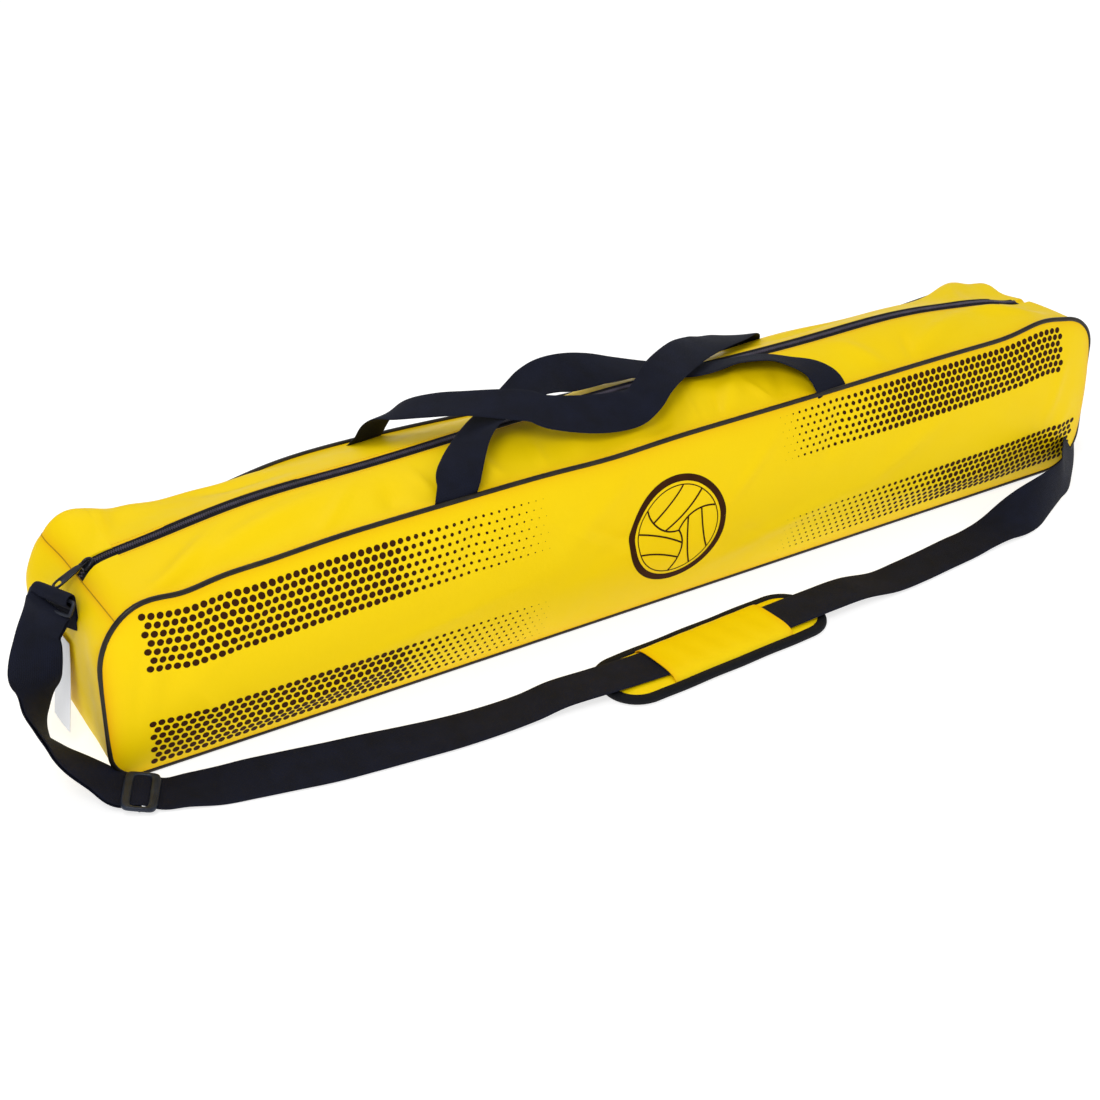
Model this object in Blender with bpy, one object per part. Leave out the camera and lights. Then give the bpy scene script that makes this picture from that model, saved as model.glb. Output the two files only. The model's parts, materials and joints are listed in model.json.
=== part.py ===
"""Padded carry bag that holds a volleyball net and its two telescopic poles.

Frame: +X along the bag, -Y out of its front, +Z up. The origin is on the flat bottom, under the
middle of the bag. Lengths are in metres. Every sub-part is its own object.
"""
import math

import bmesh
import bpy
from mathutils import Matrix, Vector

# ---------------------------------------------------------------- driving sizes
BAG_LENGTH = 1.25
BAG_HEIGHT = 0.200
BAG_DEPTH = 0.180
CORNER_RADIUS = 0.050
CLOTH = 0.0025
SMALLEST_CORNER = 0.004       # of the rings inside a panel
PIPING_RADIUS = 0.0032
PANEL_BULGE = 0.020          # how far the filled panels stand out in their middle
GAP = 0.0003

TOP_CROWN = 0.0237            # how far the zip line stands above the pipings at mid length
END_SEAM_ANGLE = math.radians(51)   # where the top meets the end gussets, from the vertical

ZIP_WIDTH = 0.013
ZIP_SLOT = 0.0024
ZIP_TAPE = 0.0020
ZIP_PAST_CORNER = 0.0312      # how far the zip runs on past where the bag's corners begin
ZIP_END_DROP = 0.0280         # how far the zip line falls from its middle to its ends
ZIP_RIGHT_TAIL = 0.040        # the zip's length past the flaps at its closed end
FLAP_LEFT_ROOM = 0.0068       # from the flaps to where the bag's left corners begin
FLAP_RIGHT_ROOM = 0.0268
FLAP_GAP = 0.0007

SLIDER_LENGTH = 0.014
SLIDER_PLATE = 0.0018
SLIDER_NECK = 0.0014
SLIDER_REST_ROOM = 0.013      # from the slider's middle to the zip's end
PULL_LENGTH = 0.033
PULL_WIDTH = 0.0070
PULL_THICKNESS = 0.0016
PULL_HOLE_RADIUS = 0.0021
PULL_DROOP = math.radians(9.5)

WEBBING = 0.0022
HANDLE_WIDTH = 0.045
STRAP_WIDTH = 0.050
FOOT_SETBACK = 0.0045         # from the top seam to the sewn end of a handle

RING_WIRE = 0.0020
RING_DROP = 0.014
RING_TILT = math.radians(35)
RING_HEIGHT = 0.164
RING_Y = -0.010
LEFT_RING_YAW = math.radians(14)
TAB_WIDTH = 0.046
TAB_TAIL = 0.034

TAG_WIDTH = 0.042
TAG_HEIGHT = 0.098
TAG_THICKNESS = 0.0010
TAG_TOP = 0.1185
TAG_CENTRE_Y = 0.009

PAD_LENGTH = 0.290
PAD_WIDTH = 0.074
PAD_THICKNESS = 0.0110
PAD_END_RADIUS = 0.032
PAD_CENTRE_X = 0.010
PAD_Y = -0.190
SLEEVE_LENGTH = 0.160
SLEEVE_THICKNESS = 0.0016
BINDING_WIDTH = 0.0065
FLOOR_LIFT = 0.0006           # under what lies on the floor beside the bag

ADJUSTER_LENGTH = 0.030
ADJUSTER_BAR = 0.0028
ADJUSTER_CHEEK = 0.0035

POLE_OUTER_RADIUS = 0.0190
POLE_WALL = 0.0014
POLE_SLIDE_FIT = 0.0010       # between one tube and the next
POLE_END_ROOM = 0.0188        # from each pole to where the bag's corners begin to round
POLE_FOOT_LIP = 0.008         # how far the foot stands out of the outer tube
POLE_COLLAR_LIP = 0.009       # how far a collar stands past the tube that it grips
POLE_STEP = 0.022             # how far each inner tube stands out of the one around it
POLE_SPACING = 0.090
COLLAR_LENGTH = 0.030
COLLAR_WALL = 0.0030

NET_RADIUS = 0.050
NET_LENGTH = 1.010
TIE_WIDTH = 0.024
TIE_THICKNESS = 0.0020
TIE_PITCH = 0.400

PEG_RADIUS = 0.0040
PEG_LENGTH = 0.280
PEG_HOOK = 0.026
PEG_MIDDLE_X = 0.200

# ---------------------------------------------------------------- worked-out places
PIPING_Y = BAG_DEPTH / 2 - PIPING_RADIUS
EDGE_Y = PIPING_Y - PIPING_RADIUS - GAP
CORNER_X = BAG_LENGTH / 2 - PIPING_RADIUS - CORNER_RADIUS
CORNER_LOW_Z = PIPING_RADIUS + CORNER_RADIUS
CORNER_HIGH_Z = BAG_HEIGHT - PIPING_RADIUS - CORNER_RADIUS
TOP_LINE_Z = BAG_HEIGHT - PIPING_RADIUS
END_FACE_X = BAG_LENGTH / 2 - PIPING_RADIUS + CLOTH / 2
SEAM_X = CORNER_X + CORNER_RADIUS * math.sin(END_SEAM_ANGLE)
FLAP_LEFT_X = FLAP_LEFT_ROOM - CORNER_X
FLAP_RIGHT_X = CORNER_X - FLAP_RIGHT_ROOM
ZIP_END_X = CORNER_X + ZIP_PAST_CORNER
SLIDER_REST_X = SLIDER_REST_ROOM - ZIP_END_X
ZIP_TOP_Z = TOP_LINE_Z + TOP_CROWN
ZIP_RADIUS = (ZIP_END_X ** 2 + ZIP_END_DROP ** 2) / (2 * ZIP_END_DROP)
BAG_FLOOR_Z = CLOTH + GAP
HALF_HEIGHT = BAG_HEIGHT / 2 - PIPING_RADIUS
POLE_START_X = POLE_END_ROOM + POLE_FOOT_LIP - CORNER_X
POLE_END_X = CORNER_X - POLE_END_ROOM - POLE_STEP - POLE_COLLAR_LIP
POLE_Z = BAG_FLOOR_Z + POLE_OUTER_RADIUS + GAP + COLLAR_WALL
TIE_RADIUS = NET_RADIUS + GAP + TIE_THICKNESS
NET_Z = POLE_Z + math.sqrt((POLE_OUTER_RADIUS + TIE_RADIUS + GAP) ** 2 - (POLE_SPACING / 2) ** 2)
WEB_HALF = WEBBING / 2
LAYER_OFFSET = WEB_HALF + 0.0004
STRAP_AT_PAD_Z = FLOOR_LIFT + PAD_THICKNESS + GAP + WEB_HALF


def clear_scene():
    """Remove every object of the open file."""
    for item in list(bpy.data.objects):
        bpy.data.objects.remove(item, do_unlink=True)


# ---------------------------------------------------------------- materials
def make_material(name, colour, roughness, metallic=0.0):
    """Return a Principled material; colour is linear RGB."""
    made = bpy.data.materials.new(name)
    made.use_nodes = True
    shader = made.node_tree.nodes["Principled BSDF"]
    shader.inputs["Base Color"].default_value = (*colour, 1.0)
    shader.inputs["Roughness"].default_value = roughness
    shader.inputs["Metallic"].default_value = metallic
    made.diffuse_color = (*colour, 1.0)
    return made


# ---------------------------------------------------------------- solids
def add_solid(name, vertices, faces, material, smooth=False):
    """Add one closed solid as an object, with its faces turned outward."""
    mesh = bpy.data.meshes.new(name)
    mesh.from_pydata([tuple(v) for v in vertices], [], faces)
    work = bmesh.new()
    work.from_mesh(mesh)
    bmesh.ops.recalc_face_normals(work, faces=work.faces)
    if work.calc_volume(signed=True) < 0:
        bmesh.ops.reverse_faces(work, faces=work.faces)
    work.to_mesh(mesh)
    work.free()
    mesh.materials.append(material)
    if smooth:
        mesh.shade_smooth()
        mesh.set_sharp_from_angle(angle=math.radians(40))
    made = bpy.data.objects.new(name, mesh)
    bpy.context.scene.collection.objects.link(made)
    return made


def sweep(name, rings, material, closed=False, smooth=False):
    """Join rings of points that follow one another; an open sweep gets a cap at each end."""
    count = len(rings[0])
    vertices = [point for ring in rings for point in ring]
    faces = []
    last = len(rings) if closed else len(rings) - 1
    for i in range(last):
        here, there = i * count, (i + 1) % len(rings) * count
        for j in range(count):
            k = (j + 1) % count
            faces.append((here + j, here + k, there + k, there + j))
    if not closed:
        faces.append(tuple(range(count)))
        faces.append(tuple(reversed(range((len(rings) - 1) * count, len(rings) * count))))
    return add_solid(name, vertices, faces, material, smooth)


def sheet(name, grid, thickness, material, keep=None):
    """Thicken a grid of surface points into a closed solid; keep(i, j) drops cells."""
    rows, columns = len(grid), len(grid[0])
    keep = keep or (lambda i, j: True)

    def normal(i, j):
        along = grid[min(i + 1, rows - 1)][j] - grid[max(i - 1, 0)][j]
        across = grid[i][min(j + 1, columns - 1)] - grid[i][max(j - 1, 0)]
        return along.cross(across).normalized()

    vertices = []
    for side in (0.5, -0.5):
        for i in range(rows):
            vertices += [grid[i][j] + normal(i, j) * thickness * side for j in range(columns)]
    cells = {(i, j) for i in range(rows - 1) for j in range(columns - 1) if keep(i, j)}
    low = rows * columns
    faces = []
    for i, j in sorted(cells):
        a, b = i * columns + j, i * columns + j + 1
        c, d = b + columns, a + columns
        faces.append((a, b, c, d))
        faces.append((a + low, d + low, c + low, b + low))
        for neighbour, p, q in (((i - 1, j), a, b), ((i, j + 1), b, c),
                                ((i + 1, j), c, d), ((i, j - 1), d, a)):
            if neighbour not in cells:
                faces.append((q, p, p + low, q + low))
    used = sorted({index for face in faces for index in face})
    place = {index: order for order, index in enumerate(used)}
    faces = [tuple(place[index] for index in face) for face in faces]
    return add_solid(name, [vertices[index] for index in used], faces, material)


def blocks(name, xs, ys, zs, filled, material, frame=Matrix()):
    """Build a solid from the filled cells of a box grid; no two cells may meet at an edge only."""
    size = (len(xs) - 1, len(ys) - 1, len(zs) - 1)
    cells = {(i, j, k) for i in range(size[0]) for j in range(size[1]) for k in range(size[2])
             if filled((xs[i] + xs[i + 1]) / 2, (ys[j] + ys[j + 1]) / 2, (zs[k] + zs[k + 1]) / 2)}
    corners = {}
    faces = []

    def corner(i, j, k):
        return corners.setdefault((i, j, k), len(corners))

    for i, j, k in sorted(cells):
        for axis in range(3):
            for step in (0, 1):
                beside = [i, j, k]
                beside[axis] += 2 * step - 1
                if tuple(beside) in cells:
                    continue
                loop = []
                for u, v in ((0, 0), (1, 0), (1, 1), (0, 1)):
                    at = [i, j, k]
                    at[axis] += step
                    at[(axis + 1) % 3] += u
                    at[(axis + 2) % 3] += v
                    loop.append(corner(*at))
                faces.append(tuple(loop))
    vertices = [frame @ Vector((xs[i], ys[j], zs[k])) for i, j, k in corners]
    return add_solid(name, vertices, faces, material)


def turned(name, profile, middle, material, sides=24):
    """Turn a profile of (x, radius) round an axis along X through middle."""
    vertices, rows = [], []
    for x, radius in profile:
        if radius == 0:
            rows.append([len(vertices)] * sides)
            vertices.append(middle + Vector((x, 0, 0)))
            continue
        rows.append(list(range(len(vertices), len(vertices) + sides)))
        for turn in range(sides):
            angle = math.tau * (turn + 0.5) / sides
            vertices.append(middle + Vector((x, radius * math.cos(angle), radius * math.sin(angle))))
    closed = profile[0][1] != 0
    faces = []
    for i in range(len(rows) if closed else len(rows) - 1):
        here, there = rows[i], rows[(i + 1) % len(rows)]
        for j in range(sides):
            k = (j + 1) % sides
            loop = []
            for index in (here[j], here[k], there[k], there[j]):
                if index not in loop:
                    loop.append(index)
            faces.append(tuple(loop))
    return add_solid(name, vertices, faces, material, smooth=True)


def tube(name, path, radius, material, closed=False, sides=8):
    """Sweep a round section along a flat or open path, square to it at each point."""
    rings = []
    count = len(path)
    start = (path[1] - path[-1] if closed else path[1] - path[0]).normalized()
    across = start.orthogonal().normalized()
    for i, point in enumerate(path):
        if closed:
            along = (path[(i + 1) % count] - path[i - 1]).normalized()
        else:
            along = (path[min(i + 1, count - 1)] - path[max(i - 1, 0)]).normalized()
        across = (across - along * across.dot(along)).normalized()
        other = along.cross(across)
        rings.append([point + radius * (across * math.cos(math.tau * k / sides)
                                        + other * math.sin(math.tau * k / sides))
                      for k in range(sides)])
    return sweep(name, rings, material, closed, smooth=True)


def ribbon(name, frames, width, thickness, material):
    """Sweep a flat band along frames of (point, along, face normal)."""
    rings = []
    for point, along, normal in frames:
        half = along.cross(normal).normalized() * width / 2
        rise = normal * thickness / 2
        rings.append([point - half - rise, point + half - rise, point + half + rise,
                      point - half + rise])
    return sweep(name, rings, material)


# ---------------------------------------------------------------- smooth routes
def through(points, steps):
    """Return points of a smooth curve through the given vectors, steps to each stretch."""
    ends = [points[0] * 2 - points[1], *points, points[-1] * 2 - points[-2]]
    curve = []
    for a, b, c, d in zip(ends, ends[1:], ends[2:], ends[3:]):
        for step in range(steps):
            t = step / steps
            curve.append(0.5 * ((2 * b) + (c - a) * t + (2 * a - 5 * b + 4 * c - d) * t ** 2
                                + (3 * b - a - 3 * c + d) * t ** 3))
    curve.append(points[-1].copy())
    return curve


def band_frames(route, steps):
    """Turn a route of (point, face normal hint) into frames for ribbon."""
    points = through([Vector(point) for point, _ in route], steps)
    hints = through([Vector(hint).normalized() for _, hint in route], steps)
    frames = []
    for i, point in enumerate(points):
        along = (points[min(i + 1, len(points) - 1)] - points[max(i - 1, 0)]).normalized()
        normal = hints[i] - along * hints[i].dot(along)
        frames.append((point, along, normal.normalized()))
    return frames


# ---------------------------------------------------------------- bag outline
def corner_point(side, high, angle, inset=0.0):
    """Return a point of the piping's rounded outline; angle is from the vertical, outward."""
    radius = max(CORNER_RADIUS - inset, SMALLEST_CORNER)
    past = inset - (CORNER_RADIUS - radius)
    z_middle = CORNER_HIGH_Z - past if high else CORNER_LOW_Z + past
    rise = math.cos(angle) * (1 if high else -1)
    return Vector((side * (CORNER_X - past + radius * math.sin(angle)), 0,
                   z_middle + radius * rise))


def outline(inset=0.0, arc_steps=7):
    """Return the closed outline in the XZ plane, from the top left corner round by the right."""
    points = []
    for side, high, rising in ((-1, True, False), (1, True, True), (1, False, False),
                               (-1, False, True)):
        for step in range(arc_steps + 1):
            share = step / arc_steps
            angle = math.pi / 2 * (share if rising else 1 - share)
            points.append(corner_point(side, high, angle, inset))
    return points


def zip_height(x):
    """Return the height of the zip line, an arc of a large circle, at a place along it."""
    return ZIP_TOP_Z - ZIP_RADIUS + math.sqrt(ZIP_RADIUS ** 2 - x ** 2)


def edge_height(x):
    """Return the height of the top's front and back edges at a place along the bag."""
    over = max(abs(x) - CORNER_X, 0.0)
    return CORNER_HIGH_Z + math.sqrt(CORNER_RADIUS ** 2 - over ** 2)


def top_point(x, y):
    """Return the point of the crowned top surface over a place of the bag."""
    crown = (1 - min(abs(y) / EDGE_Y, 1.0) ** 2) ** 2
    fade = min(max((SEAM_X - abs(x)) / (SEAM_X - ZIP_END_X), 0.0), 1.0)
    return Vector((x, y, edge_height(x) + crown * fade * (zip_height(x) - edge_height(x))))


def spread(low, high, count):
    """Return evenly spaced values from low to high."""
    return [low + (high - low) * i / (count - 1) for i in range(count)]


# ---------------------------------------------------------------- bag body
def add_panel(name, side, material):
    """Add the front (side -1) or back (side 1) panel, bulged outward as an arc of its height."""
    rim = PIPING_RADIUS + GAP
    rings = []
    for step in range(7):
        inset = rim + (HALF_HEIGHT - SMALLEST_CORNER - 2 * rim) * step / 6
        share = 1 - ((HALF_HEIGHT - inset) / (HALF_HEIGHT - rim)) ** 2
        rings.append([p + Vector((0, side * (PIPING_Y + PANEL_BULGE * share + CLOTH / 2), 0))
                      for p in outline(inset, 5)])
    inner = [[p - Vector((0, side * CLOTH, 0)) for p in ring] for ring in rings]
    sweep(name, list(reversed(rings)) + inner, material)


def add_piping(name, side, material):
    """Add the round piping that runs all round a panel."""
    path = [p + Vector((0, side * PIPING_Y, 0)) for p in outline()]
    tube(name, path, PIPING_RADIUS, material, closed=True)


def add_gussets(material):
    """Add the two end gussets and the bottom between the pipings."""
    across = [-EDGE_Y, -0.9 * EDGE_Y, -EDGE_Y / 2, 0, EDGE_Y / 2, 0.9 * EDGE_Y, EDGE_Y]
    split = math.pi / 4
    arc = 5
    for name, side in (("left_end_gusset", -1), ("right_end_gusset", 1)):
        path = [corner_point(side, True, a)
                for a in spread(END_SEAM_ANGLE + GAP / CORNER_RADIUS, math.pi / 2, arc)]
        path += [corner_point(side, False, a)
                 for a in spread(math.pi / 2, split + GAP / CORNER_RADIUS, arc)]
        grid = [[p + Vector((0, y, 0)) for y in across] for p in path]
        sheet(name, grid, CLOTH, material)
    flat = PIPING_RADIUS - CLOTH / 2
    path = [(corner_point(-1, False, a), 1 - a / split) for a in spread(split, 0, arc)]
    path += [(corner_point(1, False, a), 1 - a / split) for a in spread(0, split, arc)]
    grid = []
    for point, share in path:
        row = []
        for y in across:
            near_edge = max((abs(y) / EDGE_Y - 0.9) / 0.1, 0.0)
            row.append(point + Vector((0, y, -flat * share * (1 - near_edge ** 2))))
        grid.append(row)
    sheet("bottom_gusset", grid, CLOTH, material)


def add_top(yellow, black):
    """Add the top: a fixed piece at each end, two flaps and the zip's halves and tails."""
    half = ZIP_WIDTH / 2
    slot = ZIP_SLOT / 2
    ends = (("top_left_end", "zip_tail_left", -1, FLAP_LEFT_X),
            ("top_right_end", "zip_tail_right", 1, FLAP_RIGHT_X))
    inner = [-half, half]
    across = spread(-EDGE_Y, -half, 5)[:-1] + inner + spread(half, EDGE_Y, 5)[1:]
    for piece, tail, side, flap_x in ends:
        start = abs(flap_x) + FLAP_GAP
        zip_end = ZIP_END_X if side < 0 else abs(flap_x) + ZIP_RIGHT_TAIL
        xs = spread(SEAM_X, max(zip_end, CORNER_X), 4) + [start]
        if zip_end < CORNER_X:
            xs = spread(SEAM_X, CORNER_X, 4) + [zip_end, start]
        grid = [[top_point(side * x, y) for y in across] for x in xs]
        first_open = xs.index(zip_end)
        sheet(piece, grid, CLOTH, yellow,
              keep=lambda i, j, a=first_open: not (j == 4 and i >= a))
        cuts = [-half + GAP, -slot, slot, half - GAP]
        xs = [zip_end - GAP, zip_end - 0.0030] + spread(zip_end - 0.010, start, 3)
        grid = [[top_point(side * x, y) for y in cuts] for x in xs]
        sheet(tail, grid, ZIP_TAPE, black, keep=lambda i, j: i == 0 or j != 1)
    xs = spread(FLAP_LEFT_X, FLAP_RIGHT_X, 23)
    for name, teeth, side in (("top_front_band", "zip_front", -1), ("top_back_band", "zip_back", 1)):
        grid = [[top_point(x, side * y) for y in spread(EDGE_Y, half, 6)] for x in xs]
        sheet(name, grid, CLOTH, yellow)
        grid = [[top_point(x, side * y) for y in (half - GAP, slot)] for x in xs]
        sheet(teeth, grid, ZIP_TAPE, black)


# ---------------------------------------------------------------- zip slider
def slider_frame():
    """Return the frame of the slider at rest: on the zip line, turned along it."""
    slope = math.asin(SLIDER_REST_X / ZIP_RADIUS)
    place = Matrix.Translation((SLIDER_REST_X, 0, zip_height(SLIDER_REST_X)))
    return place @ Matrix.Rotation(slope, 4, "Y")


def add_slider(black):
    """Add the slider, whose plates straddle the tapes, and its pull between two lugs."""
    length, width = SLIDER_LENGTH / 2, ZIP_WIDTH / 2 - 3 * GAP
    gap = ZIP_TAPE / 2 + GAP
    plate = gap + SLIDER_PLATE
    lug_in, lug_out = 0.0023, 0.0034
    lug_top = plate + 0.0030
    neck = SLIDER_NECK / 2

    def filled(x, y, z):
        if z < -gap or gap < z < plate:
            return True
        if -gap < z < gap:
            return abs(y) < neck
        return lug_in < abs(y) < lug_out and x < -length + 0.0045

    blocks("zip_slider", [-length, -length + 0.0045, length],
           [-width, -lug_out, -lug_in, -neck, neck, lug_in, lug_out, width],
           [-plate, -gap, gap, plate, lug_top], filled, black, slider_frame())

    barrel = 0.0013
    pivot = slider_frame() @ Vector((-length + 0.0022, 0, plate + GAP + barrel))
    half_pin, wide = lug_in - GAP, PULL_WIDTH / 2
    sides = 12
    outline_points = []
    for k in range(sides + 1):
        angle = math.pi / 2 - math.pi * k / sides
        outline_points.append(Vector((PULL_LENGTH - wide + wide * math.cos(angle),
                                      wide * math.sin(angle), 0)))
    outline_points = [Vector((-barrel, half_pin, 0)), Vector((0.0052, half_pin, 0)),
                      Vector((0.0085, wide, 0)), *outline_points, Vector((0.0085, -wide, 0)),
                      Vector((0.0052, -half_pin, 0)), Vector((-barrel, -half_pin, 0))]
    middle = Vector((PULL_LENGTH - wide, 0, 0))
    hole = []
    for point in outline_points:
        away = (point - middle).normalized()
        hole.append(middle + away * PULL_HOLE_RADIUS)
    turn = Matrix.Rotation(-PULL_DROOP, 4, "Y") @ Matrix.Rotation(math.pi, 4, "Z")
    rise = Vector((0, 0, PULL_THICKNESS / 2))
    rings = [[turn @ (p + s * rise) for p in ring]
             for ring, s in ((outline_points, 1), (outline_points, -1), (hole, -1), (hole, 1))]
    pull = sweep("zip_pull", rings, black, closed=True)
    pull.location = pivot


# ---------------------------------------------------------------- handles
FRONT_HANDLE_ROUTE = (
    ((-0.2430, None, None), (0.0, -0.15, 1.0)),
    ((-0.2395, -0.066, 0.2112), (-0.1, -0.45, 0.9)),
    ((-0.2180, -0.057, 0.2250), (-0.6, -0.55, 0.6)),
    ((-0.1910, -0.040, 0.2380), (-0.7, -0.5, 0.5)),
    ((-0.1540, -0.018, 0.2470), (-0.55, -0.5, 0.65)),
    ((-0.1120, 0.000, 0.2520), (-0.15, -0.4, 0.9)),
    ((-0.0760, 0.014, 0.2500), (-0.05, -0.45, 0.88)),
    ((-0.0330, 0.022, 0.2440), (0.0, -0.5, 0.87)),
    ((0.0100, 0.020, 0.2370), (0.0, -0.25, 0.97)),
    ((0.0480, 0.009, 0.2330), (0.0, -0.05, 1.0)),
    ((0.0830, -0.004, 0.2310), (0.0, 0.1, 1.0)),
    ((0.1160, -0.017, 0.2300), (0.0, 0.1, 1.0)),
    ((0.1520, -0.030, 0.2300), (0.05, 0.15, 1.0)),
    ((0.1860, -0.047, 0.2270), (0.1, 0.1, 1.0)),
    ((0.2100, -0.058, 0.2190), (0.2, -0.2, 1.0)),
    ((0.2260, -0.066, 0.2120), (0.05, -0.3, 0.95)),
    ((0.2285, None, None), (0.0, -0.15, 1.0)),
)
BACK_HANDLE_ROUTE = (
    ((-0.2620, None, None), (0.0, 0.15, 1.0)),
    ((-0.2590, 0.067, 0.2125), (-0.15, 0.35, 0.93)),
    ((-0.2450, 0.054, 0.2290), (-0.35, 0.1, 0.93)),
    ((-0.2300, 0.033, 0.2430), (-0.25, -0.05, 0.97)),
    ((-0.2080, 0.008, 0.2540), (-0.1, -0.1, 1.0)),
    ((-0.1760, -0.018, 0.2600), (0.0, -0.15, 1.0)),
    ((-0.1380, -0.034, 0.2540), (0.0, -0.3, 0.95)),
    ((-0.0960, -0.044, 0.2410), (0.0, -0.38, 0.92)),
    ((-0.0570, -0.049, 0.2330), (0.0, -0.38, 0.92)),
    ((-0.0160, -0.048, 0.2310), (-0.05, -0.45, 0.88)),
    ((0.0240, -0.036, 0.2370), (-0.2, -0.6, 0.75)),
    ((0.0660, -0.014, 0.2460), (-0.3, -0.6, 0.7)),
    ((0.1260, 0.018, 0.2440), (-0.25, -0.35, 0.9)),
    ((0.1780, 0.042, 0.2350), (-0.1, 0.0, 1.0)),
    ((0.2170, 0.056, 0.2220), (0.2, 0.2, 0.95)),
    ((0.2385, 0.066, 0.2125), (0.1, 0.3, 0.95)),
    ((0.2410, None, None), (0.0, 0.15, 1.0)),
)


def seated_route(route, side):
    """Fill in the two ends of a handle's route, which lie on the top beside the seam."""
    y = side * (EDGE_Y - FOOT_SETBACK)
    seated = []
    for (x, low_y, z), hint in route:
        if low_y is None:
            low_y = y
            z = top_point(x, y).z + CLOTH / 2 + 2 * GAP + WEB_HALF
        seated.append(((x, low_y, z), hint))
    return seated


def add_handles(navy):
    """Add the two webbing carry handles, which lie crossed over the top."""
    for name, route, side in (("front_handle", FRONT_HANDLE_ROUTE, -1),
                              ("back_handle", BACK_HANDLE_ROUTE, 1)):
        ribbon(name, band_frames(seated_route(route, side), 3), HANDLE_WIDTH, WEBBING, navy)


# ---------------------------------------------------------------- rings and tabs
FOLD_RADIUS = RING_WIRE + 2 * GAP + WEB_HALF


def end_frame(side):
    """Return the frame of a ring's upper bar: local Y along the bar, local X outward."""
    yaw = LEFT_RING_YAW if side < 0 else 0.0
    reach = math.sin(yaw) * TAB_WIDTH / 2 + (FOLD_RADIUS + WEB_HALF) * math.cos(yaw)
    place = Matrix.Translation((side * (END_FACE_X + GAP + reach), RING_Y, RING_HEIGHT))
    facing = math.pi if side < 0 else 0.0
    return place @ Matrix.Rotation(facing + yaw, 4, "Z")


def lower_bar(side):
    """Return the middle of a ring's lower bar."""
    return end_frame(side) @ Vector((RING_DROP * math.sin(RING_TILT), 0,
                                     -RING_DROP * math.cos(RING_TILT)))


def add_ring_and_tab(name, side, metal, navy):
    """Add a rectangular ring and the folded webbing tab that holds its upper bar."""
    frame = end_frame(side)
    half = STRAP_WIDTH / 2 + RING_WIRE + 2 * GAP
    bend = 0.0035
    arc = 4
    flat = []
    for y_sign, top, start in ((1, True, 0.0), (1, False, 0.5), (-1, False, 1.0), (-1, True, 1.5)):
        middle = Vector((0, y_sign * (half - bend), -bend if top else bend - RING_DROP))
        for step in range(arc + 1):
            angle = math.pi * (start + 0.5 * step / arc)
            flat.append(middle + bend * Vector((0, math.cos(-angle + math.pi / 2),
                                                math.sin(-angle + math.pi / 2))))
    tilt = Matrix.Rotation(-RING_TILT, 4, "Y")
    tube(name + "_ring", [frame @ (tilt @ p) for p in flat], RING_WIRE, metal, closed=True)

    path = [Vector((-FOLD_RADIUS, 0, -TAB_TAIL)), Vector((-FOLD_RADIUS, 0, -TAB_TAIL / 2))]
    turns = 10
    for step in range(turns + 1):
        angle = math.pi - math.radians(215) * step / turns
        path.append(FOLD_RADIUS * Vector((math.cos(angle), 0, math.sin(angle))))
    outer = -FOLD_RADIUS + WEBBING + 2 * GAP
    path += [Vector((outer, 0, -TAB_TAIL * 0.45)), Vector((outer, 0, -TAB_TAIL))]
    frames = []
    for i, point in enumerate(path):
        along = (path[min(i + 1, len(path) - 1)] - path[max(i - 1, 0)]).normalized()
        normal = along.cross(Vector((0, 1, 0)))
        frames.append((frame @ point, frame.to_3x3() @ along, frame.to_3x3() @ normal))
    ribbon(name + "_ring_tab", frames, TAB_WIDTH, WEBBING, navy)


# ---------------------------------------------------------------- shoulder strap
ADJUSTER_INSET = 0.0140       # from the bag's left end face to the adjuster's middle
ADJUSTER_PLACE = Vector((ADJUSTER_INSET - END_FACE_X, -0.131, 0.0092))
ADJUSTER_HEADING = Vector((0.77, -0.63, 0.0)).normalized()
# Just below each ring, in the ring's own frame.
LEFT_LEAD = Vector((0.0150, 0.0, -0.0280))
RIGHT_LEAD = Vector((0.0150, 0.0, -0.0300))
# Down from the left ring, where the strap is doubled; x is counted outward from the end face.
LEFT_DROP = (
    ((0.0380, -0.016, 0.1130), (-0.72, -0.68, -0.15)),
    ((0.0450, -0.022, 0.0900), (-0.05, -1.00, 0.0)),
    ((0.0480, -0.032, 0.0710), (0.45, -0.88, 0.1)),
    ((0.0460, -0.044, 0.0560), (0.80, -0.50, 0.25)),
    ((0.0370, -0.062, 0.0360), (0.75, -0.30, 0.55)),
    ((0.0250, -0.084, 0.0210), (0.40, -0.15, 0.90)),
    ((0.0120, -0.104, 0.0125), (0.15, -0.05, 1.0)),
)
# On the floor from the adjuster to the pad; x is the share of the way from the pad to the end face.
LEFT_RUN = (
    ((0.840, -0.1540, 0.0070), (0.0, 0.0, 1.0)),
    ((0.645, -0.1670, 0.0048), (0.0, 0.0, 1.0)),
    ((0.440, -0.1790, 0.0060), (0.0, 0.0, 1.0)),
    ((0.277, -0.1880, 0.0100), (0.0, 0.0, 1.0)),
    ((0.143, PAD_Y, STRAP_AT_PAD_Z), (0.0, 0.0, 1.0)),
)
# The same from the pad to the right end.
RIGHT_RUN = (
    ((0.150, PAD_Y, STRAP_AT_PAD_Z), (0.0, 0.0, 1.0)),
    ((0.300, -0.1870, 0.0100), (0.0, 0.0, 1.0)),
    ((0.440, -0.1850, 0.0080), (0.0, -0.15, 1.0)),
    ((0.565, -0.1790, 0.0160), (0.0, -0.55, 0.8)),
    ((0.695, -0.1690, 0.0250), (0.15, -0.9, 0.35)),
    ((0.820, -0.1470, 0.0285), (0.35, -0.95, 0.1)),
    ((0.940, -0.1140, 0.0290), (0.55, -0.85, 0.0)),
)
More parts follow.
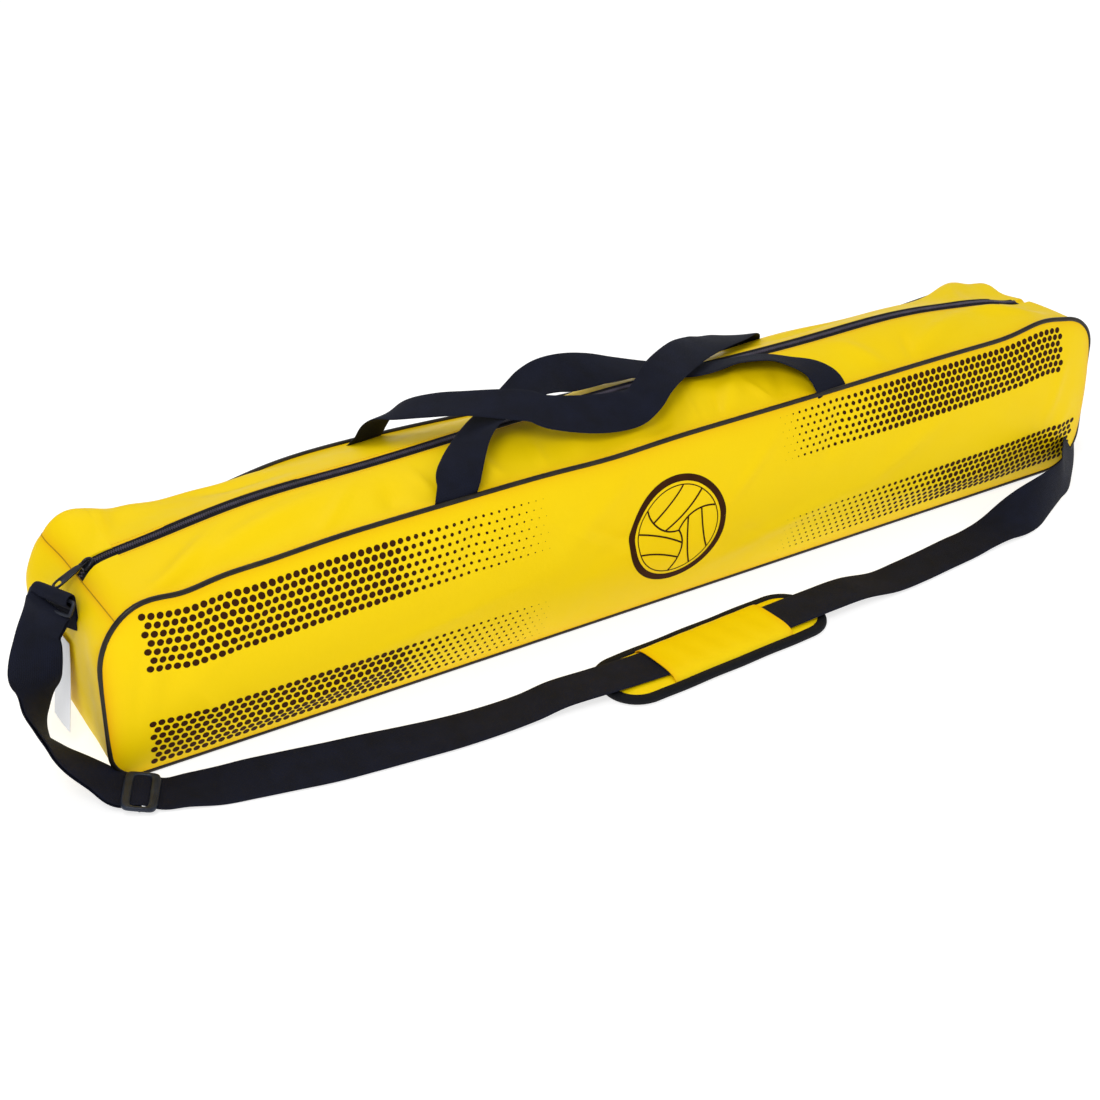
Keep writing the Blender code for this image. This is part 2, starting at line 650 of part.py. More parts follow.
# Up to the right ring; x is counted outward from the end face.
RIGHT_RISE = (
    ((0.0170, -0.0760, 0.0300), (0.75, -0.65, 0.0)),
    ((0.0420, -0.0420, 0.0380), (0.95, -0.3, 0.0)),
    ((0.0470, -0.0180, 0.0640), (1.0, -0.1, 0.0)),
    ((0.0390, -0.0100, 0.1040), (1.0, 0.0, 0.1)),
)
PAD_HOLD = 0.110              # from the pad's middle to where the strap lies straight on it
RIGHT_OVERLAP = 6             # frames of the strap's end that lie sewn against itself


def beside_end(stations, side):
    """Set stations whose x is counted outward from the bag's end face."""
    return [((side * (END_FACE_X + out), y, z), hint) for (out, y, z), hint in stations]


def beside_pad(stations, side):
    """Set stations whose x is the share of the way from the pad's end to the end face."""
    start = PAD_CENTRE_X + side * PAD_LENGTH / 2
    return [((start + share * (side * END_FACE_X - start), y, z), hint)
            for (share, y, z), hint in stations]


def doubled_layer(frames, offset, side):
    """Shift frames to one face of the route; the -1 layer runs back along it."""
    shifted = [(point + side * normal * offset(i), side * along, side * normal)
               for i, (point, along, normal) in enumerate(frames)]
    return shifted if side > 0 else shifted[::-1]


def bar_loop(middle, along, normal, steps=6):
    """Wrap half a turn round a bar, arriving along a heading with the given outer face."""
    frames = []
    for step in range(1, steps):
        angle = math.pi * step / steps
        out = normal * math.cos(angle) + along * math.sin(angle)
        heading = along * math.cos(angle) - normal * math.sin(angle)
        frames.append((middle + out * FOLD_RADIUS, heading, out))
    return frames


def strap_frames():
    """Return the frames of the whole strap, from its end at the adjuster to its sewn end."""
    steps = 3
    ease = 4                      # frames over which the layers close up
    outward = end_frame(-1).to_3x3() @ Vector((1, 0, 0))
    half_adjuster = ADJUSTER_HEADING * ADJUSTER_LENGTH / 2
    up = (0.0, 0.0, 1.0)
    start = [(lower_bar(-1), outward), (end_frame(-1) @ LEFT_LEAD, outward),
             *beside_end(LEFT_DROP, -1)]
    at_adjuster = [(ADJUSTER_PLACE + half_adjuster * k, up) for k in (-1.5, 0, 1.5)]
    on_pad = [((PAD_CENTRE_X + k * PAD_HOLD, PAD_Y, STRAP_AT_PAD_Z), up) for k in (-1, 1)]
    route = [*start, *at_adjuster, *beside_pad(LEFT_RUN, -1), *on_pad, *beside_pad(RIGHT_RUN, 1),
             *beside_end(RIGHT_RISE, 1), (end_frame(1) @ RIGHT_LEAD, (1.0, 0.0, 0.0)),
             (lower_bar(1), (1.0, 0.0, 0.0))]
    frames = band_frames(route, steps)
    centre = (len(start) + 1) * steps
    doubled, single = frames[:centre + 1], frames[centre + 1:]
    end_layer = single[-RIGHT_OVERLAP:]
    fold_extra = FOLD_RADIUS - LAYER_OFFSET

    def from_bar(i):
        return LAYER_OFFSET + fold_extra * max(1 - i / ease, 0)

    def along_single(i):
        left = LAYER_OFFSET * max(1 - (i + 1) / ease, 0)
        to_end = len(single) - 1 - i
        right = LAYER_OFFSET * min(max((RIGHT_OVERLAP + ease - to_end) / ease, 0), 1)
        return left + right + fold_extra * max(1 - to_end / ease, 0)

    def along_end(i):
        return from_bar(len(end_layer) - 1 - i)

    first, last = doubled[0], single[-1]
    return [*doubled_layer(doubled, from_bar, -1),
            *bar_loop(first[0], -first[1], -first[2]),
            *doubled_layer(doubled, from_bar, 1),
            *doubled_layer(single, along_single, 1),
            *bar_loop(*last),
            *doubled_layer(end_layer, along_end, -1)]


def add_adjuster(plastic):
    """Add the tri-glide: side bars over the strap, a middle bar under it, cheeks beside it."""
    length = ADJUSTER_LENGTH / 2
    side_in, middle = length - 0.0070, 0.0035
    inner = STRAP_WIDTH / 2 + 0.0018
    clear = LAYER_OFFSET + WEB_HALF + GAP
    bar = clear + ADJUSTER_BAR

    def filled(x, y, z):
        if abs(y) > inner:
            return True
        if abs(x) > side_in:
            return z > clear
        return abs(x) < middle and z < -clear

    across = math.atan2(ADJUSTER_HEADING.y, ADJUSTER_HEADING.x)
    frame = Matrix.Translation(ADJUSTER_PLACE) @ Matrix.Rotation(across, 4, "Z")
    blocks("strap_adjuster", [-length, -side_in, -middle, middle, side_in, length],
           [-inner - ADJUSTER_CHEEK, -inner, inner, inner + ADJUSTER_CHEEK],
           [-bar, -clear, clear, bar], filled, plastic, frame)


# ---------------------------------------------------------------- shoulder pad
def pad_outline(grow, z):
    """Return the pad's plan outline, grown outward by some distance, at a height."""
    points = []
    radius = PAD_END_RADIUS + grow
    x_reach = PAD_LENGTH / 2 - PAD_END_RADIUS
    y_reach = PAD_WIDTH / 2 - PAD_END_RADIUS
    for quarter, (sx, sy) in enumerate(((1, 1), (-1, 1), (-1, -1), (1, -1))):
        for step in range(7):
            angle = math.pi / 2 * (quarter + step / 6)
            points.append(Vector((PAD_CENTRE_X + sx * x_reach + radius * math.cos(angle),
                                  PAD_Y + sy * y_reach + radius * math.sin(angle), z)))
    return points


def add_pad(yellow, navy):
    """Add the shoulder pad: crowned cushion, bound edge and the sleeve over the strap."""
    low, high = FLOOR_LIFT, FLOOR_LIFT + PAD_THICKNESS
    profile = ((-0.0040, low), (0.0, low + 0.0025), (0.0, low + 0.0055), (-0.0030, high - 0.0022),
               (-0.0070, high - 0.0006), (-0.0110, high))
    sweep("shoulder_pad", [pad_outline(grow, z) for grow, z in profile], yellow)
    binding_top = low + 0.0075
    sweep("pad_binding", [pad_outline(GAP, low), pad_outline(BINDING_WIDTH, low + 0.0012),
                          pad_outline(BINDING_WIDTH, binding_top - 0.0012),
                          pad_outline(GAP, binding_top)], navy, closed=True)
    inner = STRAP_WIDTH / 2 + 2 * GAP
    under = STRAP_AT_PAD_Z + WEB_HALF + GAP
    frame = Matrix.Translation((PAD_CENTRE_X, PAD_Y, 0))
    blocks("pad_sleeve", [-SLEEVE_LENGTH / 2, SLEEVE_LENGTH / 2],
           [-inner - SLEEVE_THICKNESS, -inner, inner, inner + SLEEVE_THICKNESS],
           [high + GAP, under, under + SLEEVE_THICKNESS],
           lambda x, y, z: z > under or abs(y) > inner, yellow, frame)


def add_tag(white):
    """Add the hang tag, a card sewn on at its top edge and hanging down the left end."""
    x = -END_FACE_X - GAP
    blocks("hang_tag", [x - TAG_THICKNESS, x],
           [TAG_CENTRE_Y - TAG_WIDTH / 2, TAG_CENTRE_Y + TAG_WIDTH / 2],
           [TAG_TOP - TAG_HEIGHT, TAG_TOP], lambda *_: True, white)


# ---------------------------------------------------------------- what the bag holds
def add_pole(name, y, metal, plastic):
    """Add one telescopic pole, closed: three tubes, two collars, a foot and a cap."""
    middle = Vector((0, y, POLE_Z))
    start, end = POLE_START_X, POLE_END_X
    radii = [POLE_OUTER_RADIUS]
    for _ in range(2):
        radii.append(radii[-1] - POLE_WALL - POLE_SLIDE_FIT)
    for order, part in enumerate(("outer", "middle", "inner")):
        left = start + order * 0.030
        right = end + order * POLE_STEP
        radius = radii[order]
        turned(f"{name}_{part}_tube", [(left, radius), (right, radius), (right, radius - POLE_WALL),
                                       (left, radius - POLE_WALL)], middle, metal)
    for order, part in enumerate(("lower", "upper")):
        mouth = end + order * POLE_STEP
        wide, narrow = radii[order] + GAP, radii[order + 1] + GAP
        rim = wide + COLLAR_WALL
        turned(f"{name}_{part}_collar",
               [(mouth - COLLAR_LENGTH * (0.6 - 0.25 * order), wide),
                (mouth - COLLAR_LENGTH * (0.6 - 0.25 * order), rim),
                (mouth + POLE_COLLAR_LIP, rim), (mouth + POLE_COLLAR_LIP, narrow),
                (mouth + GAP, narrow), (mouth + GAP, wide)],
               middle, plastic)
    bore = POLE_OUTER_RADIUS - POLE_WALL - GAP
    rim = POLE_OUTER_RADIUS + GAP + COLLAR_WALL
    heel = start - POLE_FOOT_LIP
    turned(f"{name}_foot", [(heel, 0), (heel, rim - 0.002), (heel + 0.002, rim),
                            (start - GAP, rim), (start - GAP, bore), (start + 0.022, bore),
                            (start + 0.022, 0)], middle, plastic)
    tip = end + 2 * POLE_STEP
    bore = radii[2] - POLE_WALL - GAP
    turned(f"{name}_cap", [(tip - 0.020, 0), (tip - 0.020, bore), (tip + GAP, bore),
                           (tip + GAP, radii[2]), (tip + 0.004, radii[2]),
                           (tip + 0.006, radii[2] - 0.003), (tip + 0.009, radii[2] - 0.003),
                           (tip + 0.011, radii[2]), (tip + 0.015, radii[2] - 0.001),
                           (tip + 0.015, 0)], middle, plastic)


def add_net(fabric, navy):
    """Add the rolled net and the three ties round it."""
    middle = Vector((0, 0, NET_Z))
    half = NET_LENGTH / 2
    turned("net_roll", [(-half, 0), (-half, NET_RADIUS - 0.012), (-half + 0.004, NET_RADIUS - 0.004),
                        (-half + 0.012, NET_RADIUS), (half - 0.012, NET_RADIUS),
                        (half - 0.004, NET_RADIUS - 0.004), (half, NET_RADIUS - 0.012), (half, 0)],
           middle, fabric)
    for order in (-1, 0, 1):
        at = order * TIE_PITCH
        low, high = NET_RADIUS + GAP, TIE_RADIUS
        turned(f"net_tie_{order + 2}", [(at - TIE_WIDTH / 2, low), (at - TIE_WIDTH / 2, high),
                                        (at + TIE_WIDTH / 2, high), (at + TIE_WIDTH / 2, low)],
               middle, navy)


def add_pegs(metal):
    """Add the four ground pegs, bent rods that lie on the bottom beside the poles."""
    y = POLE_SPACING / 2 + POLE_OUTER_RADIUS + COLLAR_WALL + 2 * GAP + PEG_RADIUS + 0.001
    z = BAG_FLOOR_Z + PEG_RADIUS
    order = 0
    for side_y in (-1, 1):
        for side_x in (-1, 1):
            order += 1
            start = Vector((side_x * PEG_MIDDLE_X - PEG_LENGTH / 2, side_y * y, z))
            bend = 0.008
            path = [start, start + Vector((PEG_LENGTH * 0.5, 0, 0))]
            for step in range(5):
                angle = math.pi / 2 * step / 4
                path.append(start + Vector((PEG_LENGTH - bend + bend * math.sin(angle), 0,
                                            bend - bend * math.cos(angle))))
            path.append(start + Vector((PEG_LENGTH, 0, PEG_HOOK)))
            tube(f"ground_peg_{order}", path, PEG_RADIUS, metal)


def build():
    """Build every sub-part."""
    clear_scene()
    yellow = make_material("yellow_tarpaulin", (0.93, 0.70, 0.02), 0.45)
    black = make_material("black_piping", (0.02, 0.018, 0.012), 0.5)
    navy = make_material("navy_webbing", (0.010, 0.013, 0.025), 0.8)
    steel = make_material("black_ring_metal", (0.02, 0.02, 0.025), 0.35, 0.6)
    plastic = make_material("black_plastic", (0.012, 0.014, 0.02), 0.4)
    white = make_material("white_card", (0.8, 0.8, 0.8), 0.6)
    aluminium = make_material("pole_aluminium", (0.75, 0.76, 0.78), 0.3, 1.0)
    netting = make_material("black_netting", (0.02, 0.02, 0.02), 0.9)
    peg_steel = make_material("peg_steel", (0.55, 0.56, 0.58), 0.35, 1.0)
    add_panel("front_panel", -1, yellow)
    add_panel("back_panel", 1, yellow)
    add_piping("front_piping", -1, black)
    add_piping("back_piping", 1, black)
    add_gussets(yellow)
    add_top(yellow, black)
    add_slider(black)
    add_handles(navy)
    add_ring_and_tab("left", -1, steel, navy)
    add_ring_and_tab("right", 1, steel, navy)
    ribbon("shoulder_strap", strap_frames(), STRAP_WIDTH, WEBBING, navy)
    add_adjuster(plastic)
    add_pad(yellow, navy)
    add_tag(white)
    for name, side in (("front_pole", -1), ("back_pole", 1)):
        add_pole(name, side * POLE_SPACING / 2, aluminium, plastic)
    add_net(netting, navy)
    add_pegs(peg_steel)


build()
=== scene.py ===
"""Looks of a yellow carry bag for a volleyball net and its poles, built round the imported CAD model.

Frame: +X along the bag, -Y out of its front, +Z up, origin on the floor under the bag's middle.
Lengths are in metres.
"""
from __future__ import annotations

import json
import logging
import math
from dataclasses import dataclass
from enum import Enum

import bpy
import numpy as np
from mathutils import Matrix, Vector

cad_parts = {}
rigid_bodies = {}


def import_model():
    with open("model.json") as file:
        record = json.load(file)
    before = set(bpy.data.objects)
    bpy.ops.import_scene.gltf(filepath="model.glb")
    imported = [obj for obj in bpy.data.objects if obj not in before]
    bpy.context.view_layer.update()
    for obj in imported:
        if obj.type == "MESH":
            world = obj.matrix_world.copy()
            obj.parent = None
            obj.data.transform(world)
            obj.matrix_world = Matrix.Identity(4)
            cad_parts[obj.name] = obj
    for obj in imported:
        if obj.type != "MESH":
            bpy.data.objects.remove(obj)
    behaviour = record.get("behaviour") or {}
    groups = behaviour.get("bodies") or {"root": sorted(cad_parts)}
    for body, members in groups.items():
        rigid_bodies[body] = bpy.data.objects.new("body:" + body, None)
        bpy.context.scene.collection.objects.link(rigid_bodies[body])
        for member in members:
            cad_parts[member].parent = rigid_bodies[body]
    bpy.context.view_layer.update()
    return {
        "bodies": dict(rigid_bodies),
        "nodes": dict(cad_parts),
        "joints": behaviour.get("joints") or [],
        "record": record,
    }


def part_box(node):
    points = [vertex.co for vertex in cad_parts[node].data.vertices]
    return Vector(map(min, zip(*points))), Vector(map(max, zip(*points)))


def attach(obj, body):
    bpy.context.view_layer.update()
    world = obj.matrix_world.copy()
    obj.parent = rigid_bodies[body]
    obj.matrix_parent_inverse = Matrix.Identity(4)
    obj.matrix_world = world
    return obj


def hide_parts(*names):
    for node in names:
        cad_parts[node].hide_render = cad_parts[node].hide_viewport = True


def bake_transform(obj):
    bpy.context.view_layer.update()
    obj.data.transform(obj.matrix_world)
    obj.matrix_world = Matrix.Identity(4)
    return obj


LOG = logging.getLogger("net_bag")
Array = np.ndarray
Stations = tuple[tuple[float, ...], ...]
Socket = bpy.types.NodeSocket

MM = 0.001
UP = np.array((0.0, 0.0, 1.0))
DEEP = np.array((0.0, 1.0, 0.0))


# ------------------------------------------------------------------ numbers into curves
def unit(vectors: Array) -> Array:
    """Return the vectors scaled to length one.

    Args:
        vectors: Array whose last axis holds x, y, z.

    Returns:
        An array of the same shape.
    """
    return vectors / np.maximum(np.linalg.norm(vectors, axis=-1, keepdims=True), 1e-12)


def smooth_step(share: Array | float) -> Array:
    """Return 3s^2 - 2s^3 of a share held between 0 and 1."""
    held = np.clip(share, 0.0, 1.0)
    return held * held * (3.0 - 2.0 * held)


def spots(x: Array | float, y: Array | float, z: Array | float) -> Array:
    """Return points of x, y and z, each spread over the shape that they share."""
    return np.stack(np.broadcast_arrays(x, y, z), axis=-1)


def turns(count: int) -> tuple[Array, Array]:
    """Return the cosines and sines of evenly spaced directions."""
    turn = np.linspace(0, math.tau, count, endpoint=False)
    return np.cos(turn), np.sin(turn)


def rounded(values: Array, power: float) -> Array:
    """Return the values with their signs kept and their sizes raised to a power."""
    return np.sign(values) * np.abs(values) ** power


def between(edges: list[Array], share: Array) -> Array:
    """Return rows of points from the first edge to the second, at the given shares."""
    share = share[None, :, None]
    return edges[0][:, None] * (1 - share) + edges[1][:, None] * share


def swell(x: Array, bumps: Stations) -> Array:
    """Sum of soft bumps along one axis: height times exp(-((x - centre) / width)^2) of each.

    Args:
        x: Places along the axis.
        bumps: Centre, width and height of each bump.

    Returns:
        The summed height at each place.
    """
    centre, width, height = (np.array(part) for part in zip(*bumps))
    return (height * np.exp(-(((np.asarray(x)[..., None] - centre) / width) ** 2))).sum(-1)


def even_path(points: Array, count: int, closed: bool = False) -> Array:
    """Walk a polyline in steps of equal length.

    Args:
        points: Corner points of the line, one row each.
        count: How many points to return.
        closed: Whether the line returns to its start, which is then not repeated.

    Returns:
        Points at equal arc length, one row each.
    """
    line = np.vstack([points, points[:1]]) if closed else points
    run = travelled(line)
    at = np.linspace(0.0, run[-1], count + 1)[:-1] if closed else np.linspace(0.0, run[-1], count)
    return np.stack([np.interp(at, run, line[:, k]) for k in range(line.shape[1])], axis=1)


def through(stations: Array, count: int) -> Array:
    """Smooth curve through stations: the Catmull-Rom cubic of each four neighbours.

    Args:
        stations: One row for each station.
        count: How many points to return, evenly spaced in the curve's own parameter.

    Returns:
        Points of the curve, one row each.
    """
    rows = np.asarray(stations, float)
    line = np.vstack([2 * rows[0] - rows[1], rows, 2 * rows[-1] - rows[-2]])
    at = np.linspace(0.0, len(rows) - 1.0, count)
    i = np.minimum(at.astype(int), len(rows) - 2)
    t = (at - i)[:, None]
    a, b, c, d = line[i], line[i + 1], line[i + 2], line[i + 3]
    return 0.5 * (2 * b + (c - a) * t + (2 * a - 5 * b + 4 * c - d) * t ** 2
                  + (3 * b - a - 3 * c + d) * t ** 3)


def travelled(points: Array) -> Array:
    """Return the length of the line from its start to each point."""
    return np.concatenate([[0.0], np.cumsum(np.linalg.norm(np.diff(points, axis=0), axis=1))])


# ------------------------------------------------------------------ arrays into meshes
def make_object(name: str, vertices: Array, faces: list[Array], uv: Array | None,
                sharp: float = 40.0, shade: Array | None = None) -> bpy.types.Object:
    """Put arrays into a mesh object with smooth faces that point outwards.

    Args:
        name: Name of the piece.
        vertices: One row for each vertex.
        faces: Arrays of vertex numbers, one row for each face, one array for each face size.
        uv: A row of u and v, in metres, for each face corner in order, or None.
        sharp: Angle in degrees past which an edge is left sharp.
        shade: A value of painted shade for each vertex, kept as the point attribute that the
            tarpaulin's shader reads.

    Returns:
        The new object, linked to the scene.
    """
    solid = 0.0
    for group in faces:
        first = vertices[group[:, 0]]
        for k in range(1, group.shape[1] - 1):
            cross = np.cross(vertices[group[:, k]] - first, vertices[group[:, k + 1]] - first)
            solid += float((first * cross).sum())
    corners = uv
    if solid < 0:
        turned, start, pieces = [], 0, []
        for group in faces:
            turned.append(group[:, ::-1])
            if uv is not None:
                size = group.size
                part = uv[start:start + size].reshape(*group.shape, 2)[:, ::-1]
                pieces.append(part.reshape(-1, 2))
                start += size
        faces = turned
        corners = np.vstack(pieces) if uv is not None else None
    mesh = bpy.data.meshes.new(name)
    rows = [row for group in faces for row in group.tolist()]
    mesh.from_pydata(vertices.tolist(), [], rows)
    if corners is not None:
        layer = mesh.uv_layers.new(name="cloth")
        layer.data.foreach_set("uv", corners.astype(np.float32).ravel())
    if shade is not None:
        layer = mesh.attributes.new("seam_shade", "FLOAT", "POINT")
        layer.data.foreach_set("value", shade.astype(np.float32).ravel())
    mesh.shade_smooth()
    mesh.set_sharp_from_angle(angle=math.radians(sharp))
    piece = bpy.data.objects.new(name, mesh)
    bpy.context.scene.collection.objects.link(piece)
    return piece


def grid_faces(rows: int, columns: int, wrap_rows: bool, wrap_columns: bool) -> Array:
    """Number the quads of a grid of vertices.

    Args:
        rows: Rows of vertices.
        columns: Vertices in each row.
        wrap_rows: Whether the last row joins the first.
        wrap_columns: Whether each row closes on itself.

    Returns:
        Four vertex numbers for each quad.
    """
    i = np.arange(rows if wrap_rows else rows - 1)
    j = np.arange(columns if wrap_columns else columns - 1)
    i, j = (part.ravel() for part in np.meshgrid(i, j, indexing="ij"))
    near, far = (j + 1) % columns, (i + 1) % rows
    return np.stack([i * columns + j, i * columns + near, far * columns + near,
                     far * columns + j], axis=1)


def grid_uv(u: Array, v: Array) -> Array:
    """Give the corners of a grid's quads their u (from the row) and v (from the column)."""
    i, j = np.meshgrid(np.arange(len(u) - 1), np.arange(len(v) - 1), indexing="ij")
    i, j = i.ravel(), j.ravel()
    corner = [np.stack([u[a], v[b]], axis=1) for a, b in ((i, j), (i, j + 1), (i + 1, j + 1),
                                                         (i + 1, j))]
    return np.stack(corner, axis=1).reshape(-1, 2)


def swept(name: str, path: Array, across: Array, normal: Array, profile: Array,
          closed: bool = False, sharp: float = 40.0) -> bpy.types.Object:
    """Carry a closed profile along a path: point = path + across * a + normal * b.

    Args:
        name: Name of the piece.
        path: Points of the path, one row each.
        across: Unit vector of the profile's first axis, for all points or for each.
        normal: Unit vector of its second axis, likewise.
        profile: Rows of (a, b), or an array of them for each point of the path.
        closed: Whether the path returns to its start.
        sharp: Angle in degrees past which an edge is left sharp.

    Returns:
        The new object; u runs along the path and v round the profile.
    """
    shape = np.broadcast_to(profile, (len(path), *profile.shape[-2:]))
    across, normal = (np.broadcast_to(axis, path.shape) for axis in (across, normal))
    grid = path[:, None] + across[:, None] * shape[..., :1] + normal[:, None] * shape[..., 1:]
    rows, columns = grid.shape[:2]
    quads = grid_faces(rows, columns, closed, True)
    ring = np.vstack([shape[0], shape[0][:1]])
    line = np.vstack([path, path[:1]]) if closed else path
    uv = grid_uv(travelled(line), travelled(ring))
    faces = [quads]
    if not closed:
        ends = np.stack([np.arange(columns)[::-1], (rows - 1) * columns + np.arange(columns)])
        faces.append(ends)
        uv = np.vstack([uv, shape[0][::-1], shape[-1]])
    return make_object(name, grid.reshape(-1, 3), faces, uv, sharp)


def round_cord(name: str, path: Array, beside: Array, radius: float, closed: bool = False,
               sides: int = 12) -> bpy.types.Object:
    """Carry a circle along a path that stays square to one direction.

    Args:
        name: Name of the piece.
        path: Points of the path, one row each.
        beside: A direction that the path is never parallel to.
        radius: Radius of the circle.
        closed: Whether the path returns to its start.
        sides: Points of the circle.

    Returns:
        The new object.
    """
    line = np.vstack([path[-1:], path, path[:1]]) if closed else path
    along = unit(np.gradient(line, axis=0))
    along = along[1:-1] if closed else along
    across = unit(beside - along * (along * beside).sum(-1, keepdims=True))
    circle = radius * np.stack(turns(sides), axis=1)
    return swept(name, path, across, np.cross(along, across), circle, closed)


def sheet_normals(grid: Array, outward: Array) -> Array:
    """Return the unit normals of a grid of surface points, turned to the given side.

    Args:
        grid: Points in rows and columns.
        outward: A direction, or one for each point, that the normals are to agree with.

    Returns:
        A unit normal for each point.
    """
    normal = unit(np.cross(np.gradient(grid, axis=0), np.gradient(grid, axis=1)))
    agree = (normal * outward).sum(-1).mean()
    return normal * (1.0 if agree > 0 else -1.0)


def cloth_slab(name: str, grid: Array, thickness: float, outward: Array,
               shade: Array | None = None, sharp: float = 50.0) -> bpy.types.Object:
    """Give a grid of surface points a thickness, measured inwards along its normals.

    Args:
        name: Name of the piece.
        grid: Points of the outer face in rows and columns.
        thickness: Thickness of the cloth.
        outward: A direction on the outer side.
        shade: A value of painted shade for each point of the grid.
        sharp: Angle in degrees past which an edge is left sharp.

    Returns:
        A closed slab; u and v are the lengths of its middle row and column.
    """
    rows, columns = grid.shape[:2]
    inner = grid - sheet_normals(grid, outward) * thickness
    quads = grid_faces(rows, columns, False, False)
    count = rows * columns
    number = np.arange(count).reshape(rows, columns)
    rim = np.concatenate([number[0, :-1], number[:-1, -1], number[-1, :0:-1], number[:0:-1, 0]])
    after = np.roll(rim, -1)
    sides = np.stack([after, rim, rim + count, after + count], axis=1)
    u, v = travelled(grid[:, columns // 2]), travelled(grid[rows // 2])
    face_uv = grid_uv(u, v)
    at = np.stack(np.meshgrid(u, v, indexing="ij"), axis=-1).reshape(-1, 2)
    side_uv = np.stack([at[after], at[rim], at[rim], at[after]], axis=1).reshape(-1, 2)
    back_uv = face_uv.reshape(-1, 4, 2)[:, ::-1].reshape(-1, 2)
    points = np.vstack([grid.reshape(-1, 3), inner.reshape(-1, 3)])
    seam_shade = None if shade is None else np.tile(shade.ravel(), 2)
    return make_object(name, points, [quads, quads[:, ::-1] + count, sides],
                       np.vstack([face_uv, back_uv, side_uv]), sharp, seam_shade)


def repeated(name: str, template: Array, faces: Array, places: Array,
             axes: tuple[Array, Array, Array]) -> bpy.types.Object:
    """Set one small shape at many places: vertex = place + x * axis1 + y * axis2 + z * axis3.

    Args:
        name: Name of the piece.
        template: Vertices of the small shape.
        faces: Its quads.
        places: A point for each copy.
        axes: The copies' three axes, each for all copies or for each.

    Returns:
        One object that holds every copy.
    """
    frames = np.stack(np.broadcast_arrays(*axes, places)[:3], axis=1)
    points = places[:, None] + np.einsum("vk,nkx->nvx", template, frames)
    shift = np.arange(len(places))[:, None, None] * len(template)
    every = (faces[None] + shift).reshape(-1, faces.shape[1])
    return make_object(name, points.reshape(-1, 3), [every], None)


def rounded_block(length: float, width: float, height: float) -> tuple[Array, Array]:
    """Small block with softened ends: a ring of eight points at four stations, closed by quads.

    Args:
        length: Size along its first axis.
        width: Size along its second axis.
        height: Size along its third axis.

    Returns:
        Its vertices and its quads.
    """
    turn = np.linspace(0.0, math.tau, 8, endpoint=False) + math.pi / 8
    stations = np.array(((-0.5, 0.45), (-0.32, 1.0), (0.32, 1.0), (0.5, 0.45)))
    x = np.repeat(stations[:, 0] * length, 8)
    y = (stations[:, 1:] * np.cos(turn) * width / 2).ravel()
    z = (stations[:, 1:] * np.sin(turn) * height / 2).ravel()
    quads = grid_faces(4, 8, False, True)
    caps = np.array([[0, 1, 2, 3], [0, 3, 4, 7], [4, 5, 6, 7]])
    caps = np.vstack([caps[:, ::-1], caps + 24])
    return np.stack([x, y, z], axis=1), np.vstack([quads, caps])


def webbing_profile(width: float, thickness: float, columns: int = 15) -> Array:
    """Section of woven webbing: height = half thickness * sqrt(1 - s^8) over s from edge to edge.

    Args:
        width: Width of the webbing.
        thickness: Its thickness.
        columns: Points across one face.

    Returns:
        Rows of (across, up) round the section.
    """
    s = np.sin(np.linspace(-math.pi / 2, math.pi / 2, columns))
    h = thickness / 2 * np.sqrt(np.clip(1 - s ** 8, 0, 1))
    upper = np.stack([s * width / 2, h], axis=1)
    return np.vstack([upper, (upper * (1, -1))[-2:0:-1]])


def webbing(name: str, path: Array, hints: Array, width: float, thickness: float
            ) -> bpy.types.Object:
    """Carry a webbing section along a path.

    Args:
        name: Name of the piece.
        path: Points of its middle line.
        hints: The way its upper face looks at each point; made square to the path.
        width: Width of the webbing.
        thickness: Its thickness.

    Returns:
        The new object.
    """
    along = unit(np.gradient(path, axis=0))
    normal = unit(hints - along * (along * hints).sum(-1, keepdims=True))
    return swept(name, path, np.cross(along, normal), normal, webbing_profile(width, thickness))


# ------------------------------------------------------------------ finishes
def linear(code: str) -> tuple[float, float, float, float]:
    """Turn an sRGB hex code into linear red, green, blue and an alpha of one.

    Args:
        code: Six hex digits, with or without a leading hash.

    Returns:
        The linear colour.
    """
    digits = code.lstrip("#")
    parts = (int(digits[k:k + 2], 16) / 255 for k in (0, 2, 4))
    red, green, blue = (p / 12.92 if p <= 0.04045 else ((p + 0.055) / 1.055) ** 2.4 for p in parts)
    return red, green, blue, 1.0


class Weave(Enum):
    """How the yarns of a woven piece lie: width and height of one float, in millimetres."""

    WEBBING = (3.0, 1.7)
    TAPE = (1.6, 1.0)
    SCRIM = (1.3, 1.3)
    MESH = (7.0, 7.0)


